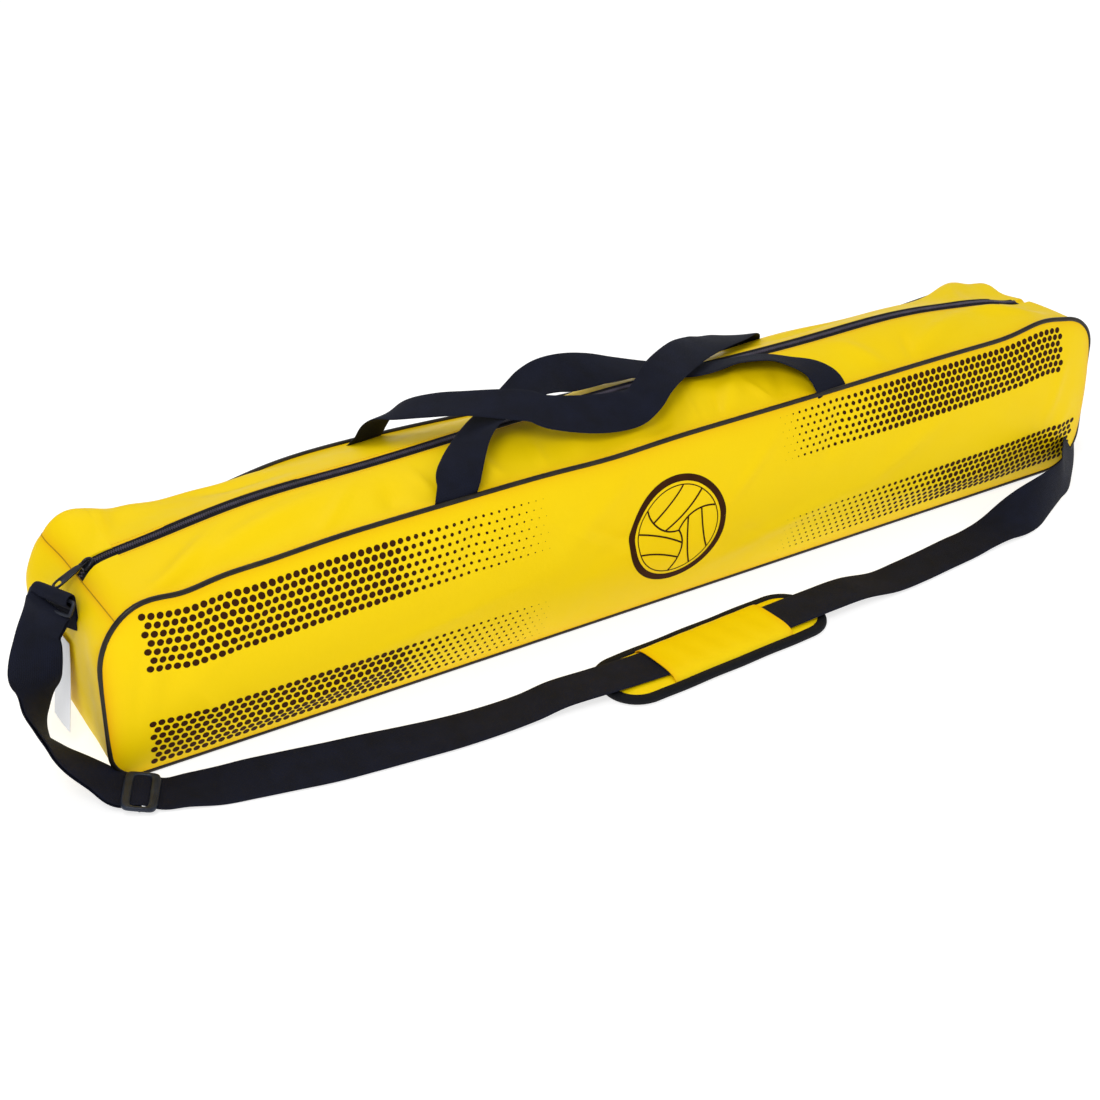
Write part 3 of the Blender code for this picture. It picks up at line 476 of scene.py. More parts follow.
@dataclass
class NodeSheet:
    """One material's node tree, filled node by node."""

    name: str

    def __post_init__(self) -> None:
        """Start the material with a bare Principled shader."""
        self.material = bpy.data.materials.new(self.name)
        self.material.use_nodes = True
        self.tree = self.material.node_tree
        self.shader = self.tree.nodes["Principled BSDF"]

    def add(self, kind: str, feeds: dict | None = None, **settings: object) -> bpy.types.Node:
        """Add a node with its settings and links.

        Args:
            kind: Blender's name of the node type.
            feeds: Value, socket or node for each input, by name or number.
            settings: The node's own properties; stops are places and hex codes of a colour ramp.

        Returns:
            The new node.
        """
        node = self.tree.nodes.new(kind)
        for key, value in settings.items():
            if key == "stops":
                ramp = node.color_ramp.elements
                for k, (place, code) in enumerate(value):
                    stop = ramp[k] if k < 2 else ramp.new(place)
                    stop.position, stop.color = place, linear(code)
            else:
                setattr(node, key, value)
        self.feed(node, feeds or {})
        return node

    def place(self, kind: str) -> Socket:
        """Return where a point lies: "Object" in the part's frame, "UV" in metres of cloth."""
        return self.add("ShaderNodeTexCoord").outputs[kind]

    def noise(self, place: Socket, scale: float, detail: float, **more: float) -> Socket:
        """Return the grey value of a noise texture."""
        feeds = {"Vector": place, "Scale": scale, "Detail": detail, **more}
        return self.add("ShaderNodeTexNoise", feeds).outputs["Fac"]

    def weave(self, weave: Weave, joint: float) -> Socket:
        """Return a weave's pattern: 0 on a float and 1 in the joints, of a share of its height."""
        wide, high = (size * MM for size in weave.value)
        feeds = {"Vector": self.place("UV"), "Scale": 1.0, "Mortar Size": joint * high,
                 "Mortar Smooth": 1.0, "Brick Width": wide, "Row Height": high}
        return self.add("ShaderNodeTexBrick", feeds).outputs["Fac"]

    def mix(self, share: Socket, first: Socket | str, second: str) -> Socket:
        """Return a mix of two colours; the first may be a socket or a hex code."""
        start = linear(first) if isinstance(first, str) else first
        feeds = {0: share, 6: start, 7: linear(second)}
        return self.add("ShaderNodeMix", feeds, data_type="RGBA").outputs[2]

    def bump(self, height: Socket, strength: float, distance: float,
             over: Socket | None = None) -> Socket:
        """Return the normal of a relief, which may lie over another one."""
        feeds = {"Height": height, "Strength": strength, "Distance": distance * MM}
        under = {} if over is None else {"Normal": over}
        return self.add("ShaderNodeBump", feeds | under).outputs[0]

    def gloss(self, value: Socket, middle: float, below: float, above: float,
              **more: float) -> Socket:
        """Return a roughness that a grey value moves from below to above its middle."""
        feeds = {"Value": value, "To Min": middle - below, "To Max": middle + above, **more}
        return self.add("ShaderNodeMapRange", feeds).outputs[0]

    def feed(self, node: bpy.types.Node, feeds: dict) -> None:
        """Set or link a node's inputs.

        Args:
            node: The node to feed.
            feeds: Value, socket or node for each input, by name or number.
        """
        for key, value in feeds.items():
            if isinstance(value, bpy.types.Node):
                value = value.outputs[0]
            if isinstance(value, bpy.types.NodeSocket):
                self.tree.links.new(value, node.inputs[key])
            else:
                node.inputs[key].default_value = value


@dataclass(frozen=True)
class CoatedTarpaulin:
    """PVC-coated polyester tarpaulin, calendered smooth over a scrim of 1.3 mm.

    The skin is satin and evenly dyed, the scrim shows through as a faint grid, and the handling
    leaves shallow dents and duller patches. Beside the seams its colour darkens as painted shade.
    """

    name: str = "pvc_tarpaulin_calendered"
    face: str = "#F5CE00"
    light: str = "#F8D800"
    # Colour of the painted shade beside the seams.
    seam: str = "#EDB200"
    roughness: float = 0.46
    scrim_joint: float = 0.2 / 1.3

    def make(self) -> bpy.types.Material:
        """Build the material."""
        sheet = NodeSheet(self.name)
        place = sheet.place("Object")
        tone = sheet.mix(sheet.noise(place, 7.0, 3.0), self.face, self.light)
        # Painted shade beside the seams: the point attribute mixes the colour towards seam.
        seam_shade = sheet.add("ShaderNodeAttribute", attribute_name="seam_shade").outputs["Fac"]
        dents = sheet.noise(place, 38.0, 5.0, Roughness=0.62)
        low = sheet.bump(dents, 0.22, 2.4)
        fine = sheet.bump(sheet.weave(Weave.SCRIM, self.scrim_joint), 0.1, 0.15, low)
        gloss = sheet.gloss(dents, self.roughness, 0.05, 0.1, **{"From Min": 0.3, "From Max": 0.7})
        sheet.feed(sheet.shader, {"Base Color": sheet.mix(seam_shade, tone, self.seam), "Normal": fine,
                                  "Roughness": gloss, "IOR": 1.53, "Specular IOR Level": 0.1})
        return sheet.material


@dataclass(frozen=True)
class WovenYarn:
    """Woven polyester or polypropylene: rows of floats, each half a float past the next row.

    The floats stand up and the ground between them is darker, which gives webbing its matt look
    with a faint sheen at a low angle. The floats are drawn up to twice as coarse as the yarn.
    """

    name: str
    ground: str
    float_colour: str
    weave: Weave
    depth: float = 0.5
    roughness: float = 0.78
    sheen: float = 0.04
    joint: float = 0.16

    def make(self) -> bpy.types.Material:
        """Build the material."""
        sheet = NodeSheet(self.name)
        joints = sheet.weave(self.weave, self.joint)
        lint = sheet.noise(sheet.place("UV"), 45.0, 4.0)
        colour = sheet.mix(joints, self.float_colour, self.ground)
        floats = sheet.add("ShaderNodeMath", {0: 1.0, 1: joints}, operation="SUBTRACT").outputs[0]
        soft = sheet.bump(lint, 0.15, 1.0, sheet.bump(floats, self.depth, 0.5))
        sheet.feed(sheet.shader, {
            "Base Color": sheet.mix(lint, colour, self.ground), "Roughness": self.roughness,
            "Normal": soft, "Sheen Weight": self.sheen, "Specular IOR Level": 0.2,
            "Sheen Roughness": 0.4, "Sheen Tint": linear(self.float_colour)})
        return sheet.material


@dataclass(frozen=True)
class MouldedPart:
    """Injection-moulded or dip-coated part: even colour, satin skin, a faint spark-eroded grain.

    The grain of 0.4 mm breaks up the highlight, and rubbed places are a little lighter.
    """

    name: str
    face: str
    rubbed: str
    roughness: float = 0.38
    metallic: float = 0.0
    grain: float = 0.08
    pitch: float = 0.9
    specular: float = 0.3

    def make(self) -> bpy.types.Material:
        """Build the material."""
        sheet = NodeSheet(self.name)
        place = sheet.place("Object")
        rub = sheet.noise(place, 60.0, 5.0)
        ramp = sheet.add("ShaderNodeValToRGB", {"Fac": rub},
                         stops=((0.35, self.face), (0.75, self.rubbed)))
        grain = sheet.noise(place, 1 / (self.pitch * MM), 2.0)
        sheet.feed(sheet.shader, {
            "Base Color": ramp.outputs[0], "Metallic": self.metallic,
            "Roughness": sheet.gloss(rub, self.roughness, 0.06, 0.08),
            "Normal": sheet.bump(grain, self.grain, 0.2), "Specular IOR Level": self.specular})
        return sheet.material


@dataclass(frozen=True)
class DrawnMetal:
    """Drawn and polished metal: long fine draw lines along X and a soft, streaked highlight."""

    name: str
    face: str
    dull: str
    roughness: float = 0.28

    def make(self) -> bpy.types.Material:
        """Build the material."""
        sheet = NodeSheet(self.name)
        drawn = sheet.add("ShaderNodeMapping", {"Vector": sheet.place("Object"),
                                                "Scale": (6.0, 900.0, 900.0)}).outputs[0]
        lines = sheet.noise(drawn, 1.0, 3.0)
        sheet.feed(sheet.shader, {
            "Base Color": sheet.mix(lines, self.face, self.dull), "Metallic": 1.0,
            "Roughness": sheet.gloss(lines, self.roughness, 0.06, 0.1),
            "Normal": sheet.bump(lines, 0.12, 0.1)})
        return sheet.material


class Finishes:
    """Every finish of the bag, made once."""

    def __init__(self) -> None:
        """Build the materials."""
        self.tarpaulin = CoatedTarpaulin().make()
        self.piping = MouldedPart("pvc_piping_extruded", "#14100A", "#2A2212", 0.36, grain=0.15,
                                  pitch=1.6).make()
        self.ink = MouldedPart("screen_ink_printed", "#331802", "#3E1F05", 0.6,
                               specular=0.08).make()
        self.webbing = WovenYarn("polyester_webbing_woven", "#03040B", "#121830",
                                 Weave.WEBBING).make()
        self.tape = WovenYarn("zip_tape_woven", "#060608", "#17161B", Weave.TAPE).make()
        self.binding = WovenYarn("grosgrain_binding_woven", "#050609", "#14161E",
                                 Weave.TAPE).make()
        self.net = WovenYarn("netting_knotted", "#0C0C0C", "#2B2B2B", Weave.MESH, 0.9).make()
        self.coil = MouldedPart("nylon_coil_moulded", "#3A3542", "#575062", 0.34).make()
        self.slider = MouldedPart("zinc_slider_enamelled", "#15161C", "#2C2E38", 0.3,
                                  metallic=0.3).make()
        self.ring = MouldedPart("steel_wire_coated", "#23262F", "#3A3E4A", 0.34,
                                metallic=0.4).make()
        self.plastic = MouldedPart("acetal_buckle_moulded", "#161C2A", "#262F40", 0.34,
                                   grain=0.12).make()
        self.cap = MouldedPart("polypropylene_cap_moulded", "#16171A", "#26282C", 0.42).make()
        self.label = WovenYarn("satin_label_woven", "#E3E5EA", "#F4F5F7", Weave.TAPE, 0.1,
                               0.5, 0.1).make()
        self.thread = WovenYarn("yellow_thread_twisted", "#DDB010", "#F5CF2C", Weave.TAPE).make()
        # Dark cord colour for the end seams: the seam line, darkened as painted shade of its crease.
        self.seam_crease_shade = WovenYarn("seam_crease_painted_shade", "#9A7204", "#C29A0A", Weave.TAPE).make()
        self.tube = DrawnMetal("aluminium_tube_drawn", "#C9CCD1", "#A9ADB4").make()
        self.peg = DrawnMetal("steel_rod_galvanised", "#A4A8AD", "#7F8389", 0.36).make()


def dress(piece: bpy.types.Object, finish: bpy.types.Material, body: str,
          nodes: tuple[str, ...] = (), bends: tuple | None = None) -> None:
    """Give a piece its finish, its body and the CAD nodes that it stands for.

    Args:
        piece: The piece.
        finish: Its material.
        body: The CAD body that it rides on.
        nodes: CAD nodes that it replaces.
        bends: For cloth across a joint: the other body, and where the bend starts and ends.
            Only whether it is given is used: the piece is then baked in place, on no body.
    """
    piece.data.materials.clear()
    piece.data.materials.append(finish)
    if bends is None:
        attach(piece, body)
    else:
        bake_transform(piece)
    if nodes:
        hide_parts(*nodes)
    LOG.info("%s: %d faces on %s", piece.name, len(piece.data.polygons), body)


# ------------------------------------------------------------------ form of the bag
@dataclass(frozen=True)
class Outline:
    """Edge of one long panel: a rounded oblong whose upper part rises and sags.

    A point at x and z rises by wave(x) times its share of the height, so that the whole upper
    cloth, and what is printed on it, goes with the top line.
    """

    y: float
    corners: tuple[float, float, float, float]
    waves: Stations
    left: float = -0.6218
    right: float = 0.6218
    low: float = 0.0032
    high: float = 0.1968

    def lift(self, x: Array, z: Array) -> Array:
        """Return the height of points of the plain oblong once the top line has sagged."""
        share = np.clip((z - self.low) / (self.high - self.low), 0.0, 1.0)
        return z + swell(x, self.waves) * share ** 1.5

    def limit(self, x: Array, upper: bool) -> Array:
        """Return the height of the upper or lower edge over each x.

        Args:
            x: Places along the bag.
            upper: Whether the upper edge is asked for.

        Returns:
            Heights: straight, with a quarter circle at each end.
        """
        at_left, at_right = (self.corners[0], self.corners[1]) if upper else (
            self.corners[3], self.corners[2])
        radius = np.where(x < 0, at_left, at_right)
        into = np.where(x < 0, self.left + radius - x, x - self.right + radius)
        drop = radius - np.sqrt(np.clip(radius ** 2 - np.clip(into, 0, radius) ** 2, 0, None))
        plain = self.high - drop if upper else self.low + drop
        return self.lift(x, plain)

    def arc(self, side: int, upper: bool, start: float, end: float, count: int) -> Array:
        """Walk one corner.

        Args:
            side: -1 for the left end and 1 for the right.
            upper: Whether it is an upper corner.
            start: First angle from the vertical, outward.
            end: Last angle.
            count: Points.

        Returns:
            Rows of x, y and z.
        """
        which = {(-1, True): 0, (1, True): 1, (1, False): 2, (-1, False): 3}[(side, upper)]
        radius, turn = self.corners[which], np.linspace(start, end, count)
        edge = self.left if side < 0 else self.right
        x = edge + side * radius * (np.sin(turn) - 1)
        rise = radius * (1 - np.cos(turn))
        plain = self.high - rise if upper else self.low + rise
        return spots(x, self.y, self.lift(x, plain))

    def line(self, x: Array, upper: bool) -> Array:
        """Return rows of x, y and z along the upper or lower edge."""
        return spots(x, self.y, self.limit(x, upper))

    def loop(self, count: int) -> Array:
        """Return the whole outline as evenly spaced points, closed."""
        tl, tr, br, bl = self.corners
        quarter = math.pi / 2
        top = self.line(np.linspace(self.left + tl, self.right - tr, 200), True)
        low = self.line(np.linspace(self.right - br, self.left + bl, 60), False)
        parts = [self.arc(-1, True, quarter, 0, 14), top[1:-1], self.arc(1, True, 0, quarter, 14),
                 self.arc(1, False, quarter, 0, 14), low[1:-1], self.arc(-1, False, 0, quarter, 14)]
        return even_path(np.vstack(parts), count, closed=True)


@dataclass(frozen=True)
class Crease:
    """A soft ridge or valley in cloth: depth * exp(-(along/length)^2 - (across/width)^2)."""

    u: float
    v: float
    turn: float
    length: float
    width: float
    depth: float

    def height(self, u: Array, v: Array) -> Array:
        """Return how far the cloth stands out at each place of a panel."""
        cos, sin = math.cos(math.radians(self.turn)), math.sin(math.radians(self.turn))
        along = (u - self.u) * cos + (v - self.v) * sin
        across = (v - self.v) * cos - (u - self.u) * sin
        return self.depth * np.exp(-((along / self.length) ** 2) - (across / self.width) ** 2)


def folds(*rows: tuple[float, ...]) -> tuple[Crease, ...]:
    """Return a crease for each row of place, turn in degrees, length, width and depth.

    Args:
        rows: Six numbers each; the lengths are in millimetres.

    Returns:
        The creases, in metres.
    """
    return tuple(Crease(u * MM, v * MM, turn, length * MM, width * MM, depth * MM)
                 for u, v, turn, length, width, depth in rows)


def creased(u: Array, v: Array, creases: tuple[Crease, ...]) -> Array:
    """Return the summed height of several creases."""
    return sum((crease.height(u, v) for crease in creases), np.zeros(np.broadcast(u, v).shape))


class BagForm:
    """Shape of the filled bag, from which every cloth piece takes its surface.

    Bumps are rows of centre, width and height. The creases' listed depths are multiplied by
    PANEL_FOLDS and TOP_FOLDS. TROUGH is the depth, half width and edge of the zip's bed.
    """

    SEAM_ANGLE = math.radians(46)
    FLOOR_ANGLE = math.radians(45)
    EDGE_Y = 0.085
    PIPING_Y = 0.0868
    ZIP_RADIUS = 6.507
    ZIP_TOP = 0.2205
    FLAPS = (-0.565, 0.545)
    HEM_Y = 0.0076
    HALF_LENGTH = 0.6218
    BULGE = 0.0225
    SEAM_LIFT = 1.2 * MM
    PANEL_FOLDS = 2.4
    TOP_FOLDS = 3.0
    TROUGH = (3.2 * MM, 7.8 * MM, 0.9 * MM)

    front = Outline(-PIPING_Y, (0.075, 0.04, 0.045, 0.03), (
        (-0.54, 0.038, -0.01), (-0.465, 0.07, -0.005), (-0.06, 0.06, -0.003),
        (0.4, 0.15, 0.002), (0.54, 0.04, 0.009)), right=0.6195)
    back = Outline(PIPING_Y, (0.045, 0.045, 0.045, 0.045), (
        (-0.59, 0.03, 0.002), (-0.545, 0.03, -0.006), (-0.46, 0.08, -0.017),
        (0.05, 0.2, -0.018), (0.43, 0.2, -0.022), (0.6, 0.04, -0.012)), left=-0.617)
    back_puff: Stations = (
        (-0.588, 0.024, 0.013), (-0.562, 0.02, 0.0075), (-0.53, 0.03, 0.0105),
        (-0.46, 0.05, 0.0125),
        (-0.395, 0.03, 0.003), (0.3, 0.12, 0.0085), (0.44, 0.07, 0.006),
        (0.545, 0.035, 0.014), (0.6, 0.025, 0.01))
    zip_waves: Stations = ((-0.42, 0.1, 0.006), (0.4, 0.12, 0.0085), (0.575, 0.03, -0.006),
                           (-0.6, 0.014, -0.004))
    front_creases = folds(
        (-560, 110, 74, 50, 12, -1.2), (-500, 165, 48, 45, 8, -1.2), (-470, 150, 40, 60, 8, 1.2),
        (-300, 75, 8, 110, 10, 0.8), (-230, 160, 62, 35, 10, -1.2), (-80, 150, 35, 60, 12, 1),
        (-20, 120, 20, 90, 12, -1), (150, 60, 12, 90, 10, 1.2), (230, 165, 58, 40, 10, -1.2),
        (330, 110, 25, 70, 12, 1), (500, 120, -30, 60, 14, -1.4), (570, 60, 70, 40, 10, 1),
        (-400, 35, 5, 100, 10, 1.6), (420, 40, -6, 100, 12, 1.4), (-120, 135, -35, 50, 7, 0.8),
        (-60, 110, -28, 60, 8, -0.8), (110, 140, 40, 45, 7, 0.8), (120, 60, -40, 50, 8, -0.8),
        (-520, 60, -60, 40, 7, 0.8), (-590, 100, 80, 45, 8, -1), (560, 120, 70, 40, 8, 1))
    top_creases = folds(
        (-520, -55, 30, 50, 10, 2.2), (-440, -45, 12, 70, 12, 1.8), (-300, -60, 70, 22, 12, -1.6),
        (-190, -55, 108, 26, 10, 1.8), (-80, -50, 60, 30, 16, 1.4), (20, -55, 55, 30, 14, -1.6),
        (120, -50, 50, 34, 12, 1.6), (180, -55, 64, 26, 10, -1.4), (300, -50, 120, 30, 12, 1.4),
        (420, -45, 20, 60, 12, 1.8), (520, -30, -35, 40, 12, 2), (-560, 50, 70, 30, 12, 2.4),
        (-420, 55, -15, 60, 14, -1.8), (0, 55, 80, 30, 20, 1.6), (300, 55, 10, 80, 12, -1.6),
        (520, 50, 60, 30, 14, 2.2), (60, -60, 75, 20, 6, 1), (95, -58, 62, 22, 6, -1),
        (150, -62, 110, 20, 6, 1), (-130, -60, 80, 20, 6, 0.9), (-260, -55, 100, 22, 7, 1),
        (240, -58, 58, 22, 7, 1), (360, -60, 70, 24, 8, -1), (-360, -55, 40, 35, 7, 0.9))

    def bulge(self, x: Array, z: Array, outline: Outline) -> Array:
        """Return how far a filled panel stands out of the plane of its piping.

        An arc of the height, 1 - t^2, over a plateau of the length, sqrt(1 - s^6).
        """
        low, high = outline.limit(x, False), outline.limit(x, True)
        t = 2 * (z - low) / np.maximum(high - low, 1e-4) - 1
        s = np.clip(np.abs(x) / self.HALF_LENGTH, 0, 1)
        return self.BULGE * np.sqrt(np.clip(1 - s ** 6, 0, 1)) * np.clip(1 - t ** 2, 0, 1)

    def panel(self, x: Array, z: Array, side: int) -> Array:
        """Return points of the front (side -1) or back (side 1) panel.

        Args:
            x: Places along the bag.
            z: Heights within the panel.
            side: Which panel.

        Returns:
            Points of its outer face.
        """
        outline = self.front if side < 0 else self.back
        out = self.bulge(x, z, outline)
        fold = creased(x * (1 if side < 0 else -1), z, self.front_creases)
        out = out + self.PANEL_FOLDS * fold * smooth_step(out / 0.008)
        return spots(x, side * (self.PIPING_Y + self.SEAM_LIFT + out), z)

    def zip_line(self, x: Array) -> Array:
        """Return the height of the zip: an arc of a large circle with soft waves."""
        return self.ZIP_TOP - x ** 2 / (2 * self.ZIP_RADIUS) + swell(x, self.zip_waves)

    def top(self, x: Array, y: Array) -> Array:
        """Return the height of the crowned top between the two pipings.

        The edges' heights are mixed across, and (1 - (y/edge)^2)^1.5 carries the zip line.
        """
        across = np.clip(y / self.EDGE_Y, -1, 1)
        edges = [outline.limit(x, True) for outline in (self.front, self.back)]
        share = (across + 1) / 2
        crown = np.clip(1 - across ** 2, 0, 1) ** 1.5
        base = edges[0] * (1 - share) + edges[1] * share
        lifted = base + crown * (self.zip_line(x) - (edges[0] + edges[1]) / 2)
        return lifted + self.top_folds(x, y) + self.puff(x, y)

    def top_folds(self, x: Array, y: Array) -> Array:
        """Return the height of the top's creases, which fade at the piping and at the zip."""
        near_piping = smooth_step((1 - np.abs(y) / self.EDGE_Y) / 0.25)
        near_zip = smooth_step((np.abs(y) - 0.006) / 0.02)
        return self.TOP_FOLDS * creased(x, y, self.top_creases) * near_piping * near_zip

    def puff(self, x: Array, y: Array) -> Array:
        """Return how far the cloth swells beside the back piping: steep outside, soft inside."""
        inside = np.where(y > 0.076, smooth_step((self.EDGE_Y - y) / 0.009),
                          np.exp(-((y - 0.076) / 0.026) ** 2))
        return swell(x, self.back_puff) * inside

    def top_end(self, side: int, rows: int, across: Array) -> Array:
        """Return the piece of top between a flap's end and the gusset.

        Each row runs from front to back between points at the same share of the two outlines,
        and a shallow trough takes the zip's tail.
        """
        edges = []
        for outline in (self.front, self.back):
            turn = outline.arc(side, True, self.SEAM_ANGLE, 0, 14)
            flat = outline.line(np.linspace(turn[-1, 0], self.FLAPS[side > 0], 8), True)
            past = (turn[:, 0] - self.FLAPS[side > 0]) * side > 0
            line = (turn, flat[1:]) if past.all() else (turn[past], flat[-1:])
            edges.append(even_path(np.vstack(line), rows))
        mixed = between(edges, (np.clip(across / self.EDGE_Y, -1, 1) + 1) / 2)
        x, y = mixed[..., 0], np.broadcast_to(across, mixed.shape[:2])
        crown = np.clip(1 - (y / self.EDGE_Y) ** 2, 0, 1) ** 1.5
        past = np.abs(mixed[:1, :, 0] - x)
        fade = smooth_step(past / 0.016)
        mean = (edges[0][:, 2] + edges[1][:, 2])[:, None] / 2
        z = mixed[..., 2] + crown * fade * (self.zip_line(x) - mean) + self.top_folds(x, y) * fade
        deep, half, slope = self.TROUGH
        z = z + self.puff(x, y) - deep * smooth_step((half - np.abs(y)) / slope)
        x = x + side * 0.45 * self.corner_swell(y, side) * np.exp(-(past / 0.02) ** 2)
        return spots(x, y, z)

    def corner_swell(self, y: Array, side: int) -> Array:
        """Return how far an end swells outward beside its back piping, steep on the outer side."""
        reach = 0.014 if side < 0 else 0.006
        return reach * np.exp(-((y - 0.07) / 0.021) ** 2) * smooth_step((self.EDGE_Y - y) / 0.01)

    def gusset(self, side: int, rows: int, columns: int) -> Array:
        """Return the end piece from the top's seam down round the lower corner."""
        edges = []
        for outline in (self.front, self.back):
            upper = outline.arc(side, True, self.SEAM_ANGLE, math.pi / 2, 12)
            lower = outline.arc(side, False, math.pi / 2, self.FLOOR_ANGLE, 12)
            edges.append(even_path(np.vstack([upper, lower]), rows))
        grid = between(edges, np.linspace(0, 1, columns))
        grid[..., 1] = np.linspace(-self.EDGE_Y, self.EDGE_Y, columns)
        down = np.linspace(0, 1, rows)[:, None]
        y = grid[..., 1]
        grid[..., 2] += self.puff(grid[:1, :, 0], y) * (1 - smooth_step(down / 0.25))
        corner = (self.corner_swell(y, side) * (0.45 + 0.55 * smooth_step(down / 0.25))
                  * smooth_step((1 - down) / 0.35))
        hollow = -0.0016 * np.exp(-((y + 0.045) / 0.014) ** 2) * np.sin(math.pi * down)
        grid[..., 0] += side * (0.00125 * smooth_step(down / 0.04) + corner + hollow)
        return grid

    def bottom(self, columns: int) -> Array:
        """Return the bottom between the gussets, which lies flat on the floor."""
        edges = []
        for outline in (self.front, self.back):
            left = outline.arc(-1, False, self.FLOOR_ANGLE, 0, 8)
            right = outline.arc(1, False, 0, self.FLOOR_ANGLE, 8)
            edges.append(even_path(np.vstack([left, right]), 120))
        grid = between(edges, np.linspace(0, 1, columns))
        near = smooth_step((self.EDGE_Y - np.abs(grid[..., 1])) / 0.012)
        grid[..., 2] = np.maximum(grid[..., 2] - 0.003 * near, 0.0002)
        return grid


@dataclass
class Shell:
    """The sewn tarpaulin shell: panels, pipings, gussets, bottom and top."""

    form: BagForm
    finishes: Finishes
    cloth: float = 1.6 * MM
    piping_radius: float = 2.7 * MM
    seam_radius: float = 0.6 * MM
    # Strength of the painted shade that darkens the tarpaulin beside its seams.
    seam_shade: float = 0.8

    def panel(self, name: str, side: int) -> None:
        """Add a filled panel on a grid of x and of the share of its height."""
        outline = self.form.front if side < 0 else self.form.back
        near = 0.08
        ends = near * (1 - np.cos(np.linspace(0, math.pi / 2, 26)))
        middle = np.linspace(outline.left + near, outline.right - near, 330)[1:-1]
        x = np.concatenate([outline.left + ends, middle, (outline.right - ends)[::-1]])
        share = np.linspace(0, 1, 61)
        low, high = outline.limit(x, False), outline.limit(x, True)
        z = low[:, None] + (high - low)[:, None] * share[None]
        grid = self.form.panel(np.broadcast_to(x[:, None], z.shape), z, side)
        edge = np.minimum(np.minimum(z - low[:, None], high[:, None] - z),
                          (outline.right - np.abs(x))[:, None])
        # Painted shade: the colour darkens within 6 mm of the panel's edges, beside the piping.
        seam_shade = self.seam_shade * np.exp(-edge / (6 * MM))
        piece = cloth_slab(name, grid, self.cloth, side * DEEP, seam_shade)
        dress(piece, self.finishes.tarpaulin, "bag", (name,))

    def piping(self, name: str, outline: Outline) -> None:
        """Add the corded piping round a panel."""
        path = outline.loop(700)
        piece = round_cord(name, path, DEEP, self.piping_radius, True)
        dress(piece, self.finishes.piping, "bag", (name,))

    def strip(self, name: str, grid: Array, outward: Array, body: str, edge: Array,
              bends: tuple | None = None) -> None:
        """Add a sewn piece of tarpaulin whose colour darkens towards its seams as painted shade."""
        seam_shade = self.seam_shade * np.exp(-edge / (5 * MM))
        piece = cloth_slab(name, grid, self.cloth, outward, seam_shade)
        dress(piece, self.finishes.tarpaulin, body, (name,), bends)

    def build(self) -> None:
        """Add every piece of the shell."""
        form, edge_y = self.form, self.form.EDGE_Y
        for name, side, outline in (("front", -1, form.front), ("back", 1, form.back)):
            self.panel(f"{name}_panel", side)
            self.piping(f"{name}_piping", outline)
        for name, side in (("left", -1), ("right", 1)):
            grid = form.gusset(side, 48, 45)
            # Distance to the seams, over which strip paints shade.
            edge = np.minimum(edge_y - np.abs(grid[..., 1]), 0.2 * np.linspace(0, 1, 48)[:, None])
            self.strip(f"{name}_end_gusset", grid, np.array((side, 0.0, 0.0)), "bag", edge)
            # A thin dark cord along the seam of gusset and top: it marks the seam line, and its dark
            # colour is painted shade of the seam's crease.
            seam = grid[0] - (0.0, 0.0, 0.0002)
            line = round_cord(f"{name}_end_seam", seam, UP, self.seam_radius, sides=8)
            dress(line, self.finishes.seam_crease_shade, "bag")
            half = np.concatenate([np.array((0.0, 0.004, 0.0069, 0.0072, 0.0075, 0.0079)),
                                   np.linspace(0.01, edge_y, 32)])
            inner = np.concatenate([-half[:0:-1], half])
            grid = form.top_end(side, 22, inner)
            edge = np.minimum(edge_y - np.abs(grid[..., 1]), np.abs(grid[..., 0] - grid[:1, :, 0]))
            self.strip(f"top_{name}_end", grid, UP, "bag", edge)
        grid = form.bottom(21)
        self.strip("bottom_gusset", grid, -UP, "bag", edge_y - np.abs(grid[..., 1]))
        x = np.linspace(*form.FLAPS, 300)
        for name, side in (("front", -1), ("back", 1)):
            y = side * np.concatenate([np.linspace(edge_y, form.HEM_Y + 0.004, 34),
                                       form.HEM_Y + np.array((0.0025, 0.0012, 0.0004, 0.0))])
            across = np.broadcast_to(y[None], (len(x), len(y)))
            along = np.broadcast_to(x[:, None], across.shape)
            z = form.top(along, across) - 0.0014 * np.exp(-(np.abs(across) - form.HEM_Y) / 0.0006)
            grid = spots(along, across, z)
            edge = np.minimum(edge_y - np.abs(across), np.abs(across) - form.HEM_Y)
            bends = ("bag", (0.0, side * edge_y, 0.198), (0.0, side * 0.066, 0.198))
            self.strip(f"top_{name}_band", grid, UP, f"{name}_flap", edge, bends)


